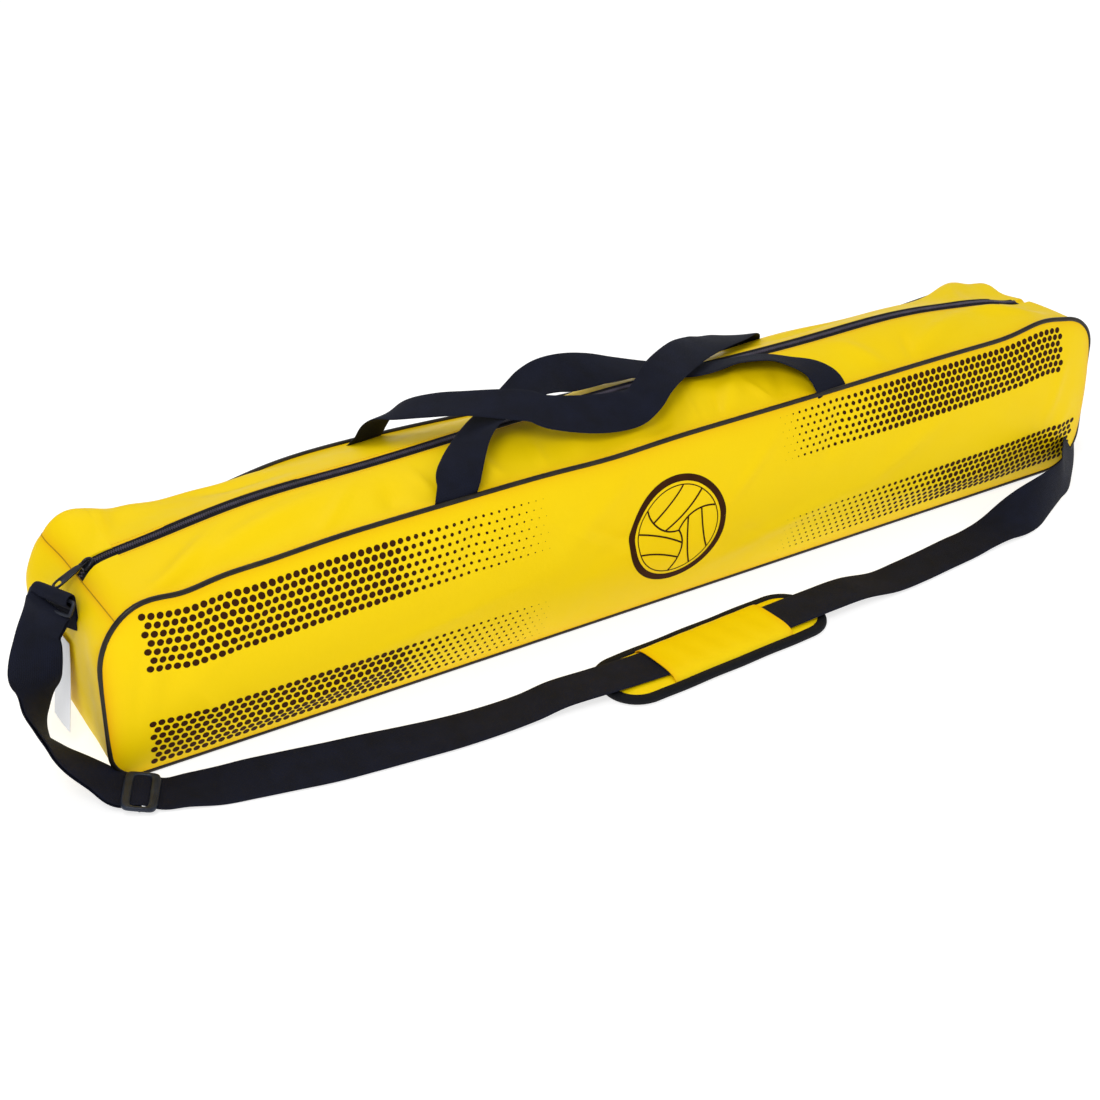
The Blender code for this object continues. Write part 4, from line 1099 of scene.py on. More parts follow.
def ring_plate(name: str, outer: Array, inner: Array, thickness: float, axes: Array,
               place: Array) -> bpy.types.Object:
    """Softly rounded flat plate between two loops with matching points.

    Args:
        name: Name of the piece.
        outer: Outer loop as rows of two lengths.
        inner: Edge of the hole, point for point.
        thickness: Thickness in the middle of the rim.
        axes: Three rows: the plate's two directions and its normal.
        place: Where the loops' origin lies.

    Returns:
        The new object. Its section follows (1 - s^6)^(1/2) between the two edges.
    """
    s = np.sin(np.linspace(-math.pi / 2, math.pi / 2, 7))
    high = thickness / 2 * np.sqrt(np.clip(1 - s ** 6, 0, 1))
    share = np.concatenate([(s + 1) / 2, (s[-2:0:-1] + 1) / 2])
    lift = np.concatenate([high, -high[-2:0:-1]])
    flat = inner[:, None] + (outer - inner)[:, None] * share[None, :, None]
    grid = place + flat[..., :1] * axes[0] + flat[..., 1:] * axes[1] + lift[:, None] * axes[2]
    rows, columns = grid.shape[:2]
    uv = grid_uv(np.linspace(0, 0.1, rows + 1), np.linspace(0, 0.02, columns + 1))
    return make_object(name, grid.reshape(-1, 3), [grid_faces(rows, columns, True, True)], uv, 60)


def oblong(length: float, width: float, power: float, count: int = 48) -> Array:
    """Superellipse loop |x/a|^p + |y/b|^p = 1, as rows of two lengths."""
    cos, sin = (rounded(part, 2 / power) for part in turns(count))
    return np.stack([cos * length / 2, sin * width / 2], axis=1)


# ------------------------------------------------------------------ print
@dataclass
class Print:
    """The printed bands of dots that fade along the bag, and a ball in a ring between them."""

    form: BagForm
    finishes: Finishes
    rows: int = 7
    wide_row: float = 8.85 * MM
    row: float = 7.9 * MM
    pitch: float = 8.6 * MM
    full: float = 3.5 * MM
    least: float = 0.35 * MM
    proud: float = 0.22 * MM
    sides: int = 12
    upper_heights: tuple[float, float] = (0.1515, 0.164)
    lower_heights: tuple[float, float] = (0.038, 0.045)
    emblem_middle: tuple[float, float] = (0.0125, 0.099)
    rings: tuple = (("emblem_ring", 0.058, 0.0075), ("emblem_circle", 0.0505, 0.0012))
    ball: float = 0.05
    ball_turn: float = 0.35
    ball_twist: float = 0.75
    ball_line: float = 0.002

    def rows_of(self, x: Array, middle: float) -> Array:
        """Return the heights of a band's rows at each x, evenly spaced along the cloth."""
        pitch = self.wide_row if middle == self.upper_heights[0] else self.row
        outline = self.form.front
        plain = np.linspace(outline.low, outline.high, 200)
        lifted = outline.lift(x[:, None], plain[None])
        out = self.form.panel(np.broadcast_to(x[:, None], lifted.shape), lifted, -1)
        offset = (np.arange(self.rows) - (self.rows - 1) / 2) * pitch
        heights = []
        for line, height in zip(out, lifted):
            run = travelled(line)
            heights.append(np.interp(np.interp(middle, plain, run) + offset, run, height))
        return np.array(heights)

    def dots(self, name: str, first: float, last: float, middle: float,
             fade: tuple[tuple[float, float], ...]) -> Array:
        """Return centre and radius of a band's dots.

        Args:
            name: Name of the band, for the log.
            first: x of the first column.
            last: x past which there are none.
            middle: Plain height of the band's middle row.
            fade: x and share of the full radius, in order of x.

        Returns:
            Rows of x, z and radius.
        """
        x = np.arange(first, last, self.pitch / 2)
        heights = self.rows_of(x, middle)
        radius = self.full * np.interp(x, *zip(*fade), left=fade[0][1], right=fade[-1][1])
        found = [(x[i], heights[i, k], radius[i]) for i in range(len(x))
                 for k in range(i % 2, self.rows, 2) if radius[i] > self.least]
        LOG.info("%s: %d dots", name, len(found))
        return np.array(found)

    def on_panel(self, x: Array, z: Array) -> Array:
        """Return points just clear of the front panel."""
        step = 0.5 * MM
        here = self.form.panel(x, z, -1)
        normal = unit(np.cross(self.form.panel(x, z + step, -1) - here,
                               self.form.panel(x + step, z, -1) - here))
        return here - normal * np.sign(normal[..., 1:2]) * self.proud

    def band(self, name: str, dots: Array) -> None:
        """Add one band of dots, each a fan of triangles, a little wider than high."""
        cos, sin = turns(self.sides)
        x = dots[:, :1] + dots[:, 2:] * np.concatenate([[0], cos])
        z = dots[:, 1:2] + dots[:, 2:] * np.concatenate([[0], sin]) * 0.97
        points = self.on_panel(x, z).reshape(-1, 3)
        k = np.arange(self.sides)
        fan = np.stack([0 * k, k + 1, (k + 1) % self.sides + 1], axis=1)
        faces = fan[None] + np.arange(len(dots))[:, None, None] * (self.sides + 1)
        piece = make_object(name, points, [faces.reshape(-1, 3)], None)
        dress(piece, self.finishes.ink, "bag")

    def stroke(self, name: str, lines: list[tuple[Array, Array]], width: float) -> None:
        """Add printed lines of one width; each line is given by its x and z."""
        points, faces, start = [], [], 0
        for x, z in lines:
            along = unit(np.stack([np.gradient(x), np.gradient(z)], axis=1))
            across = np.linspace(-width / 2, width / 2, 4)
            grid = self.on_panel(x[:, None] - along[:, 1:] * across,
                                 z[:, None] + along[:, :1] * across)
            points.append(grid.reshape(-1, 3))
            faces.append(grid_faces(*grid.shape[:2], False, False) + start)
            start += len(points[-1])
        piece = make_object(name, np.vstack(points), [np.vstack(faces)], None)
        dress(piece, self.finishes.ink, "bag")

    def emblem(self) -> None:
        """Add a plain ball in a ring: three pairs of arcs turned by a third of a circle."""
        middle_x, middle_z = self.emblem_middle
        turn = np.linspace(0, math.tau, 97)
        for name, radius, width in self.rings:
            circle = middle_x + radius * np.cos(turn), middle_z + radius * np.sin(turn)
            self.stroke(name, [circle], width)

        def arm(turned: float, share: Array) -> tuple[Array, Array]:
            """Return the x and z of a curved line from the ball's middle to its rim."""
            angle = turned + self.ball_twist * (1 - share)
            return self.ball * share * np.cos(angle), self.ball * share * np.sin(angle)

        third, share, lines = math.tau / 3, np.linspace(0.0, 1.0, 30), []
        bow = 0.012 * share * (1 - share)
        for k in range(3):
            turned = k * third + self.ball_turn
            x, z = arm(turned, share)
            lines.append((middle_x + x, middle_z + z))
            for step in (0.36, 0.7):
                x, z = arm(turned + third, np.array([step]))
                rim = turned + step * third * 0.72
                cos, sin = math.cos(rim), math.sin(rim)
                lines.append((middle_x + x * (1 - share) + self.ball * cos * share + bow * sin,
                              middle_z + z * (1 - share) + self.ball * sin * share - bow * cos))
        self.stroke("emblem_seams", lines, self.ball_line)

    def build(self) -> None:
        """Add the four bands and the emblem."""
        upper_left = ((-0.323, 1.0), (-0.3, 0.74), (-0.24, 0.5), (-0.18, 0.34), (-0.15, 0.1))
        upper_right = ((0.165, 0.1), (0.18, 0.42), (0.24, 0.63), (0.3, 0.89), (0.33, 1.0))
        lower_right = ((0.165, 0.1), (0.18, 0.31), (0.24, 0.47), (0.3, 0.65), (0.36, 0.8),
                       (0.4, 1.0))
        for name, first, last, middle, fade in (
                ("dots_upper_left", -0.5777, -0.145, self.upper_heights[0], upper_left),
                ("dots_lower_left", -0.581, -0.145, self.lower_heights[0], upper_left),
                ("dots_upper_right", 0.155, 0.566, self.upper_heights[1], upper_right),
                ("dots_lower_right", 0.16, 0.6, self.lower_heights[1], lower_right)):
            self.band(name, self.dots(name, first, last, middle, fade))
        self.emblem()


# ------------------------------------------------------------------ zip
@dataclass
class Zip:
    """Coil zip along the crown: two tapes, their coils, the sewn tails, slider and pull."""

    form: BagForm
    finishes: Finishes
    sunk: float = 0.5 * MM
    tape_edges: tuple[float, float] = (0.4 * MM, 9.6 * MM)
    tape_thickness: float = 0.5 * MM
    tooth: tuple[float, float, float] = (3.3 * MM, 1.5 * MM, 1.6 * MM)
    tooth_pitch: float = 2.4 * MM
    tooth_y: float = 1.25 * MM
    stitch: tuple[float, float, float] = (2.1 * MM, 0.55 * MM, 0.45 * MM)
    stitch_pitch: float = 3.0 * MM
    stitch_y: float = 11.4 * MM
    tail_half: float = 7.6 * MM
    end_x: float = -0.6034
    right_tail: float = 0.034
    slider_x: float = -0.592
    slider_half: tuple[float, float, float] = (7.5 * MM, 5.6 * MM, 2.7 * MM)
    pull_droop: float = math.radians(28)
    pull_length: float = 0.04
    pull_width: float = 0.0125
    pull_eye: float = 3.6 * MM

    def line(self, x: Array) -> Array:
        """Return the height of the tape; beyond the flaps it follows the cloth's ends."""
        x = np.asarray(x, float)
        beside = np.array((-0.012, -0.011, -0.01))
        z = self.form.top(x, np.full_like(x, beside[1]))
        for side in (-1, 1):
            end = self.form.top_end(side, 60, beside)[:, 1]
            order = np.argsort(end[:, 0])
            past = np.interp(x, end[order, 0], end[order, 2])
            z = np.where(x * side > self.form.FLAPS[side > 0] * side, past, z)
        return z - self.sunk

    def tape(self, name: str, x: Array, low: float, high: float, body: str) -> None:
        """Add one woven tape between two distances from the middle."""
        grid = spots(x[:, None], np.linspace(low, high, 6), self.line(x)[:, None])
        piece = cloth_slab(name, grid, self.tape_thickness, UP)
        dress(piece, self.finishes.tape, body, (name,))

    def row(self, name: str, places: Array, size: tuple[float, float, float],
            across: bool) -> bpy.types.Object:
        """Set small rounded blocks at places along the zip, lengthwise or across it."""
        along = unit(spots(1.0, 0.0, np.gradient(places[:, 2], places[:, 0])))
        first, second = (DEEP, -along) if across else (along, DEEP)
        block, faces = rounded_block(*size)
        return repeated(name, block, faces, places, (first, second, np.cross(first, second)))

    def coil(self, name: str, x: Array, side: int, body: str) -> None:
        """Add a row of coil turns, each a small rounded block across the tape's edge."""
        places = spots(x, side * self.tooth_y, self.line(x) + self.sunk)
        dress(self.row(name, places, self.tooth, True), self.finishes.coil, body)

    def stitches(self, name: str, x: Array, y: float, body: str) -> None:
        """Add one row of topstitching along a folded edge."""
        places = spots(x, y, self.form.top(x, np.full_like(x, y)) + 0.1 * MM)
        dress(self.row(name, places, self.stitch, False), self.finishes.thread, body)

    def slider(self) -> None:
        """Add the slider's body, which narrows to the right, and the loop for the pull."""
        near = self.slider_x + np.array((-0.006, 0.0, 0.006))
        height = self.line(near)
        along = unit(np.array((1.0, 0.0, np.gradient(height, near)[1])))
        up = np.cross(along, DEEP)
        middle = np.array((self.slider_x, 0.0, height[1]))
        length, width, thick = self.slider_half
        share = np.linspace(-1, 1, 17)
        half = width * (1 - 0.3 * smooth_step((share + 0.1) / 1.1)) * (1 - share ** 8) ** 0.5
        size = np.stack([np.maximum(half, 0.8 * MM), thick * (1 - share ** 6 * 0.7)], axis=1)
        cos, sin = turns(24)
        section = np.stack([rounded(cos, 0.45), rounded(sin, 0.6)], axis=1)
        path = middle + 1.5 * MM * UP + share[:, None] * length * along
        piece = swept("zip_slider", path, DEEP, up, section * size[:, None], sharp=50)
        dress(piece, self.finishes.slider, "zip_slider", ("zip_slider",))
        arch = np.linspace(0, math.pi, 15)[:, None]
        loop = (middle + np.array((-1.0, 0.0, 3.4)) * MM + np.cos(arch) * along * 5.2 * MM
                + np.sin(arch) * up * 4.2 * MM)
        crown = round_cord("zip_slider_loop", loop, DEEP, 1.5 * MM)
        dress(crown, self.finishes.slider, "zip_slider")
        self.pull(middle + np.array((-1.5, 0.0, 6.0)) * MM)

    def pull(self, pivot: Array) -> None:
        """Add the pull: a moulded tab with a round eye at its tip, and the link that holds it."""
        down = np.array((-math.cos(self.pull_droop), 0.0, -math.sin(self.pull_droop)))
        axes = np.stack([down, DEEP, np.cross(down, DEEP)])
        length = self.pull_length
        outer = oblong(length * 0.84, self.pull_width, 3.4)
        outer[:, 1] *= 0.72 + 0.28 * smooth_step(0.5 + outer[:, 0] / length)
        outer[:, 0] += length * 0.58
        inner = self.pull_eye * np.stack(turns(48), axis=1) + (length * 0.84, 0.0)
        plate = ring_plate("zip_pull", outer, inner, 2.2 * MM, axes, pivot)
        dress(plate, self.finishes.slider, "zip_pull", ("zip_pull",))
        outer, inner = (oblong(long * MM, wide * MM, 3.0) + (4.8 * MM, 0.0)
                        for long, wide in ((12.5, 6.2), (7.5, 2.8)))
        link = ring_plate("zip_pull_link", outer, inner, 1.6 * MM, axes, pivot)
        dress(link, self.finishes.slider, "zip_pull")

    def build(self) -> None:
        """Add both halves, the tails, the slider and the pull."""
        first, last = self.form.FLAPS
        x = np.linspace(first, last, 260)
        teeth = np.arange(first + 1 * MM, last, self.tooth_pitch)
        seam = np.arange(first + 2 * MM, last - 2 * MM, self.stitch_pitch)
        later = self.tooth_pitch / 2
        for name, side in (("front", -1), ("back", 1)):
            body = f"{name}_flap"
            self.tape(f"zip_{name}", x, *(side * edge for edge in self.tape_edges), body)
            self.coil(f"zip_{name}_coil", teeth + (side > 0) * later, side, body)
            self.stitches(f"zip_{name}_stitches", seam, side * self.stitch_y, body)
        left = np.linspace(self.end_x, first - 0.4 * MM, 24)
        right = np.linspace(last + 0.4 * MM, last + self.right_tail, 24)
        for name, tail in (("left", left), ("right", right)):
            self.tape(f"zip_tail_{name}", tail, -self.tail_half, self.tail_half, "bag")
        for k, tail in enumerate((left, right)):
            places = np.arange(tail[0] + 1 * MM, tail[-1], self.tooth_pitch)
            for j, side in enumerate((-1, 1)):
                self.coil(f"zip_tail_coil_{k}_{j}", places + j * later, side, "bag")
        self.slider()


# ------------------------------------------------------------------ webbing
def stations(*rows: tuple[float, ...]) -> Stations:
    """Return a route's stations from a place in millimetres and a facing in hundredths each."""
    return tuple((x * MM, y * MM, z * MM, a / 100, b / 100, c / 100) for x, y, z, a, b, c in rows)


def routed(rows: Stations, per_station: int = 8) -> tuple[Array, Array]:
    """Curve through stations that each hold a place and the way the upper face looks.

    Args:
        rows: Six numbers each: place, then facing.
        per_station: Steps between two stations.

    Returns:
        Points of the middle line and the facing at each.
    """
    line = through(rows, (len(rows) - 1) * per_station + 1)
    return line[:, :3], unit(line[:, 3:])


@dataclass
class Handles:
    """The two carry handles, each one length of webbing that crosses over the bag's top."""

    finishes: Finishes
    width: float = 0.045
    thickness: float = 2.2 * MM
    front: Stations = stations(
        (-244.5, -83.8, 186, 0, -98, 20), (-242, -84.8, 197.5, 0, -95, 30),
        (-237.5, -80, 206.7, -9, -95, 25), (-230, -72, 219, -40, -60, 68),
        (-212.4, -55, 230, -56, -30, 78), (-194.7, -39.8, 236, -52, -5, 84),
        (-172.4, -25.1, 240, -36, 10, 92), (-142.8, -12, 242.8, -20, 5, 98),
        (-117, 1, 246.2, -12, -10, 98), (-98, 6, 252, 2, -30, 95),
        (-76.7, 10, 252.8, 30, -48, 80), (-46.3, 18.6, 245.8, 40, -62, 65),
        (-4.3, 26.8, 237, 28, -42, 84), (27.3, 26, 230, 16, -17, 97), (57, 16, 225, 12, -2, 99),
        (88.3, -5, 224.2, 10, 5, 99), (110, -14.9, 225.5, 0, 20, 97),
        (142.8, -20, 227.7, 6, 32, 94), (182.4, -30.2, 226.2, 19, 20, 95),
        (206.5, -45.9, 220.4, 24, 2, 97), (221.9, -60, 214.9, 18, -21, 96),
        (228.6, -74, 207.9, 13, -46, 88), (230, -84.8, 197.8, 12, -80, 60),
        (231, -83.8, 187, 0, -98, 20))
    back: Stations = stations(
        (-260, 84.8, 188, -10, 93, 30), (-254.9, 73.5, 205, -22, 90, 35),
        (-248.7, 59.5, 227.8, -15, 68, 72), (-233.6, 44.6, 239.5, -25, 22, 94),
        (-209.5, 20, 249, -22, 0, 97), (-181.9, -5.9, 254.9, -12, -10, 99),
        (-149.5, -25.2, 253.5, -10, -28, 95), (-126, -37, 250, 0, -38, 93),
        (-108, -44, 241.5, 12, -50, 85), (-64, -54, 231.8, 18, -64, 75),
        (-20.1, -52.5, 224.6, 12, -62, 77), (5, -48.5, 227.8, -30, -35, 87),
        (22.5, -42, 237.5, -40, -28, 86), (48.2, -27.4, 244.5, 0, -32, 94),
        (95.2, 1.6, 241.5, 22, -20, 95), (135, 25, 232.5, 20, -5, 98), (164, 40, 224, 25, 15, 95),
        (193, 56, 215, 28, 28, 92), (215, 70, 206, 30, 50, 80), (229, 79, 195, 30, 75, 60),
        (233, 84, 180, 10, 95, 30))

    def handle(self, name: str, stations: tuple, side: int) -> None:
        """Add one handle, whose feet are sewn to the cloth; it is baked in place and does not bend.
        """
        path, facing = routed(stations, 10)
        piece = webbing(name, path, facing, self.width, self.thickness)
        bends = ("bag", (0.0, side * 0.0833, 0.2), (0.0, side * 0.06, 0.215))
        dress(piece, self.finishes.webbing, name, (name,), bends)

    def build(self) -> None:
        """Add both handles."""
        self.handle("front_handle", self.front, -1)
        self.handle("back_handle", self.back, 1)


@dataclass
class ShoulderStrap:
    """The shoulder strap with its rings, tabs and tri-glide.

    It runs from the tri-glide up to the left ring, back down over itself, through the tri-glide,
    along the floor, through the pad and up round the right ring.
    """

    finishes: Finishes
    width: float = 0.05
    thickness: float = 2.2 * MM
    layer: float = 1.5 * MM
    fold: float = 3.7 * MM
    ring_height: float = 0.164
    ring_y: float = -0.01
    yaw: float = math.radians(25)
    tilt: float = math.radians(35)
    drop: float = 0.014
    tab_fold: float = 6.0 * MM
    lift: float = 11.0 * MM
    end_x: float = 0.62305
    glide_place: tuple[float, float, float] = (-0.607, -0.1205, 0.0068)
    glide_heading: tuple[float, float, float] = (0.87, -0.46, -0.16)
    left: Stations = stations(
        (-649, -11, 143, -76, -42, 48), (-656, -15.8, 125.3, -62, -66, 42),
        (-663.8, -24.5, 106, -22, -90, 38), (-669.2, -33.5, 88.8, 58, -76, 28),
        (-673.8, -42.5, 75, 80, -53, 29), (-674.5, -52, 63.6, 90, -25, 36),
        (-673, -60.4, 55.6, 88, -5, 48), (-666.2, -69.4, 45.4, 74, -6, 67),
        (-655.3, -82.2, 34.5, 58, -13, 81), (-639.8, -96.8, 22.3, 46, -18, 87))
    run: Stations = stations(
        (-567.1, -139, 5.6, -8, -5, 100), (-538.9, -150, 6.6, -12, -18, 98),
        (-511.8, -157.4, 8.2, -10, -24, 97), (-474.3, -166.4, 9, -6, -26, 96),
        (-436.2, -174.5, 9, -3, -27, 96), (-395.4, -179.5, 8, 1, -23, 97),
        (-353.9, -183.9, 6.4, 2, -16, 99), (-311.7, -188, 5, 2, -10, 99),
        (-267.3, -190, 4, 1, -4, 100), (-225, -191.5, 5.5, -5, 0, 100),
        (-190, -194.5, 11.4, -5, 0, 100), (-140, -199.5, 13.2, 0, 0, 100),
        (-60, -202, 13, 0, 0, 100), (80, -196.5, 13, 0, 0, 100), (140, -193.5, 13, 0, 0, 100),
        (190, -190.5, 11.2, 5, 0, 100), (236.5, -189.5, 4, 0, 2, 100),
        (275.3, -186.5, 3.4, 0, 0, 100), (316.6, -181.5, 3.2, 0, 0, 100),
        (358.6, -176.5, 3.6, 0, -2, 100), (389, -172.5, 4.2, -5, 2, 100),
        (420.9, -170, 7.8, -18, -10, 98), (453.2, -169.3, 15.6, -13, -56, 82),
        (494.7, -162.2, 23.4, 19, -91, 37), (537.7, -147.3, 26.5, 41, -91, 12),
        (562, -131, 25.6, 55, -78, 26), (593.2, -103.4, 24.6, 62, -72, 30),
        (629, -72, 26.2, 74, -62, 25), (661, -44, 38, 93, -35, 0), (669, -20, 64, 100, -10, 0),
        (662.1, -10, 104, 100, 0, 10), (644, -10, 135, 100, 0, 0))

    def ring_frame(self, side: int) -> tuple[Array, Array, Array]:
        """Return a ring's upper bar: its middle, the way outward and the way along it."""
        yaw = self.yaw if side < 0 else 0.0
        out = np.array((side * math.cos(yaw), -math.sin(yaw), 0.0))
        reach = 0.0092 if side < 0 else 0.0051
        height = self.ring_height + (self.lift if side < 0 else 0.0)
        place = np.array((side * (self.end_x + reach), self.ring_y, height))
        return place, out, np.cross(UP, out)

    def lower_bar(self, side: int) -> Array:
        """Return the middle of a ring's lower bar."""
        return self.ring_frame(side)[0] + self.drop * self.down(side)

    def down(self, side: int) -> Array:
        """Return the way a ring hangs, tilted outward."""
        out = self.ring_frame(side)[1]
        return math.sin(self.tilt) * out - math.cos(self.tilt) * UP

    def ring(self, name: str, side: int) -> None:
        """Add a rectangular wire ring round its tab and the strap."""
        place, _, along = self.ring_frame(side)
        down = self.down(side)
        loop = oblong(self.drop, 0.0545, 9.0, 120)
        path = place + (loop[:, :1] + self.drop / 2) * down + loop[:, 1:] * along
        piece = round_cord(name, path, np.cross(down, along), 1.8 * MM, True)
        dress(piece, self.finishes.ring, "shoulder_strap", (name,))

    def tab(self, name: str, side: int) -> None:
        """Add the tab of webbing that folds over a ring's upper bar, with both ends sewn down."""
        place, out, along = self.ring_frame(side)
        radius = self.tab_fold if side < 0 else self.fold
        turn = np.linspace(math.pi, math.pi - math.radians(205), 20)
        reach = np.concatenate([np.full(8, -radius), radius * np.cos(turn),
                                np.linspace(2.5 * MM, 2.7 * MM, 7) - radius])
        rise = np.concatenate([np.linspace(-0.034, -0.002, 8), radius * np.sin(turn),
                               np.linspace(-0.012, -0.034, 7)])
        path = place + reach[:, None] * out + rise[:, None] * UP
        normal = np.cross(unit(np.gradient(path, axis=0)), along)
        inward = (normal * (place - path)).sum(1).mean()
        piece = swept(name, path, along, -normal if inward > 0 else normal,
                      webbing_profile(0.046, self.thickness))
        dress(piece, self.finishes.webbing, "shoulder_strap", (name,))

    def bar_loop(self, middle: Array, heading: Array, facing: Array) -> tuple[Array, Array]:
        """Wrap half a turn round a bar, arriving with a heading and an outer face."""
        turn = np.linspace(0, math.pi, 12)[1:-1]
        out = np.outer(np.cos(turn), facing) + np.outer(np.sin(turn), heading)
        return middle + out * self.fold, out

    def strap(self) -> None:
        """Add the strap as one length of webbing.

        It lies in two layers between the left ring and the tri-glide and again below the right
        ring, and eases from one layer's distance to a bar's radius over ten points.
        """
        glide, heading = self.glide_frame()
        rise = np.cross(np.cross(heading, UP), heading)
        at_glide = [(*(glide + k * 0.02 * heading + (1 - abs(k)) * self.thickness * UP), *rise)
                    for k in (-1, 0, 1)]
        start = (*self.lower_bar(-1), *self.ring_frame(-1)[1])
        end = (*self.lower_bar(1), 1.0, 0.0, 0.0)
        doubled, up = routed((start, *self.left, *at_glide))
        single, single_up = routed((*self.left[-2:], *at_glide, *self.run, end))
        cut, skip = len(doubled) - 8, 24
        from_start, to_end = np.arange(len(single)) - skip, np.arange(len(single))[::-1]

        def ease(steps: Array) -> Array:
            """Return a share that falls from one to nothing in ten steps."""
            return np.clip(1 - steps / 10, 0, 1)

        def apart(steps: Array) -> Array:
            """Return how far a layer lies from the middle at its steps from a bar."""
            return (self.layer + (self.fold - self.layer) * ease(steps) ** 2)[:, None]

        near, away = up[:cut], apart(np.arange(cut))
        loop, loop_up = self.bar_loop(doubled[0], unit(doubled[0] - doubled[1]), -up[0])
        lift = (ease(from_start) * self.layer + ease(to_end) ** 2 * self.fold
                + smooth_step(1 - (to_end - 26) / 10) * self.layer * (to_end > 9))
        end_loop, end_up = self.bar_loop(single[-1], unit(single[-1] - single[-2]), single_up[-1])
        behind = (single[-28:] - single_up[-28:] * apart(to_end[-28:]))[::-1]
        points = np.vstack([(doubled[:cut] - near * away)[::-1], loop, doubled[:cut] + near * away,
                            (single + single_up * lift[:, None])[skip:], end_loop, behind])
        facing = np.vstack([-near[::-1], loop_up, near, single_up[skip:], end_up,
                            -single_up[-28:][::-1]])
        piece = webbing("shoulder_strap", points, facing, self.width, self.thickness)
        dress(piece, self.finishes.webbing, "shoulder_strap", ("shoulder_strap",))

    def glide_frame(self) -> tuple[Array, Array]:
        """Return the middle of the tri-glide and the heading of the strap through it."""
        return np.array(self.glide_place), unit(np.array(self.glide_heading))

    def glide(self) -> None:
        """Add the tri-glide: a rounded frame over the strap and a middle bar under it."""
        place, heading = self.glide_frame()
        over = unit(np.cross(UP, heading))
        axes = np.stack([heading, over, np.cross(heading, over)])
        outer, inner = oblong(0.035, 0.058, 6.0, 96), oblong(0.017, 0.049, 6.0, 96)
        middle = place + (self.layer + 1.9 * MM) * UP - 4.2 * MM * over
        frame = ring_plate("strap_adjuster", outer, inner, 4.6 * MM, axes, middle)
        dress(frame, self.finishes.plastic, "shoulder_strap", ("strap_adjuster",))
        ends = np.linspace(-0.0255, 0.019, 9)
        path = place - 3.2 * MM * UP + ends[:, None] * over
        bar = round_cord("strap_adjuster_bar", path, UP, 1.5 * MM)
        dress(bar, self.finishes.plastic, "shoulder_strap")

    def build(self) -> None:
        """Add the rings and tabs, the strap and the tri-glide."""
        for name, side in (("left_ring", -1), ("right_ring", 1)):
            self.ring(name, side)
            self.tab(f"{name}_tab", side)
        self.strap()
        self.glide()


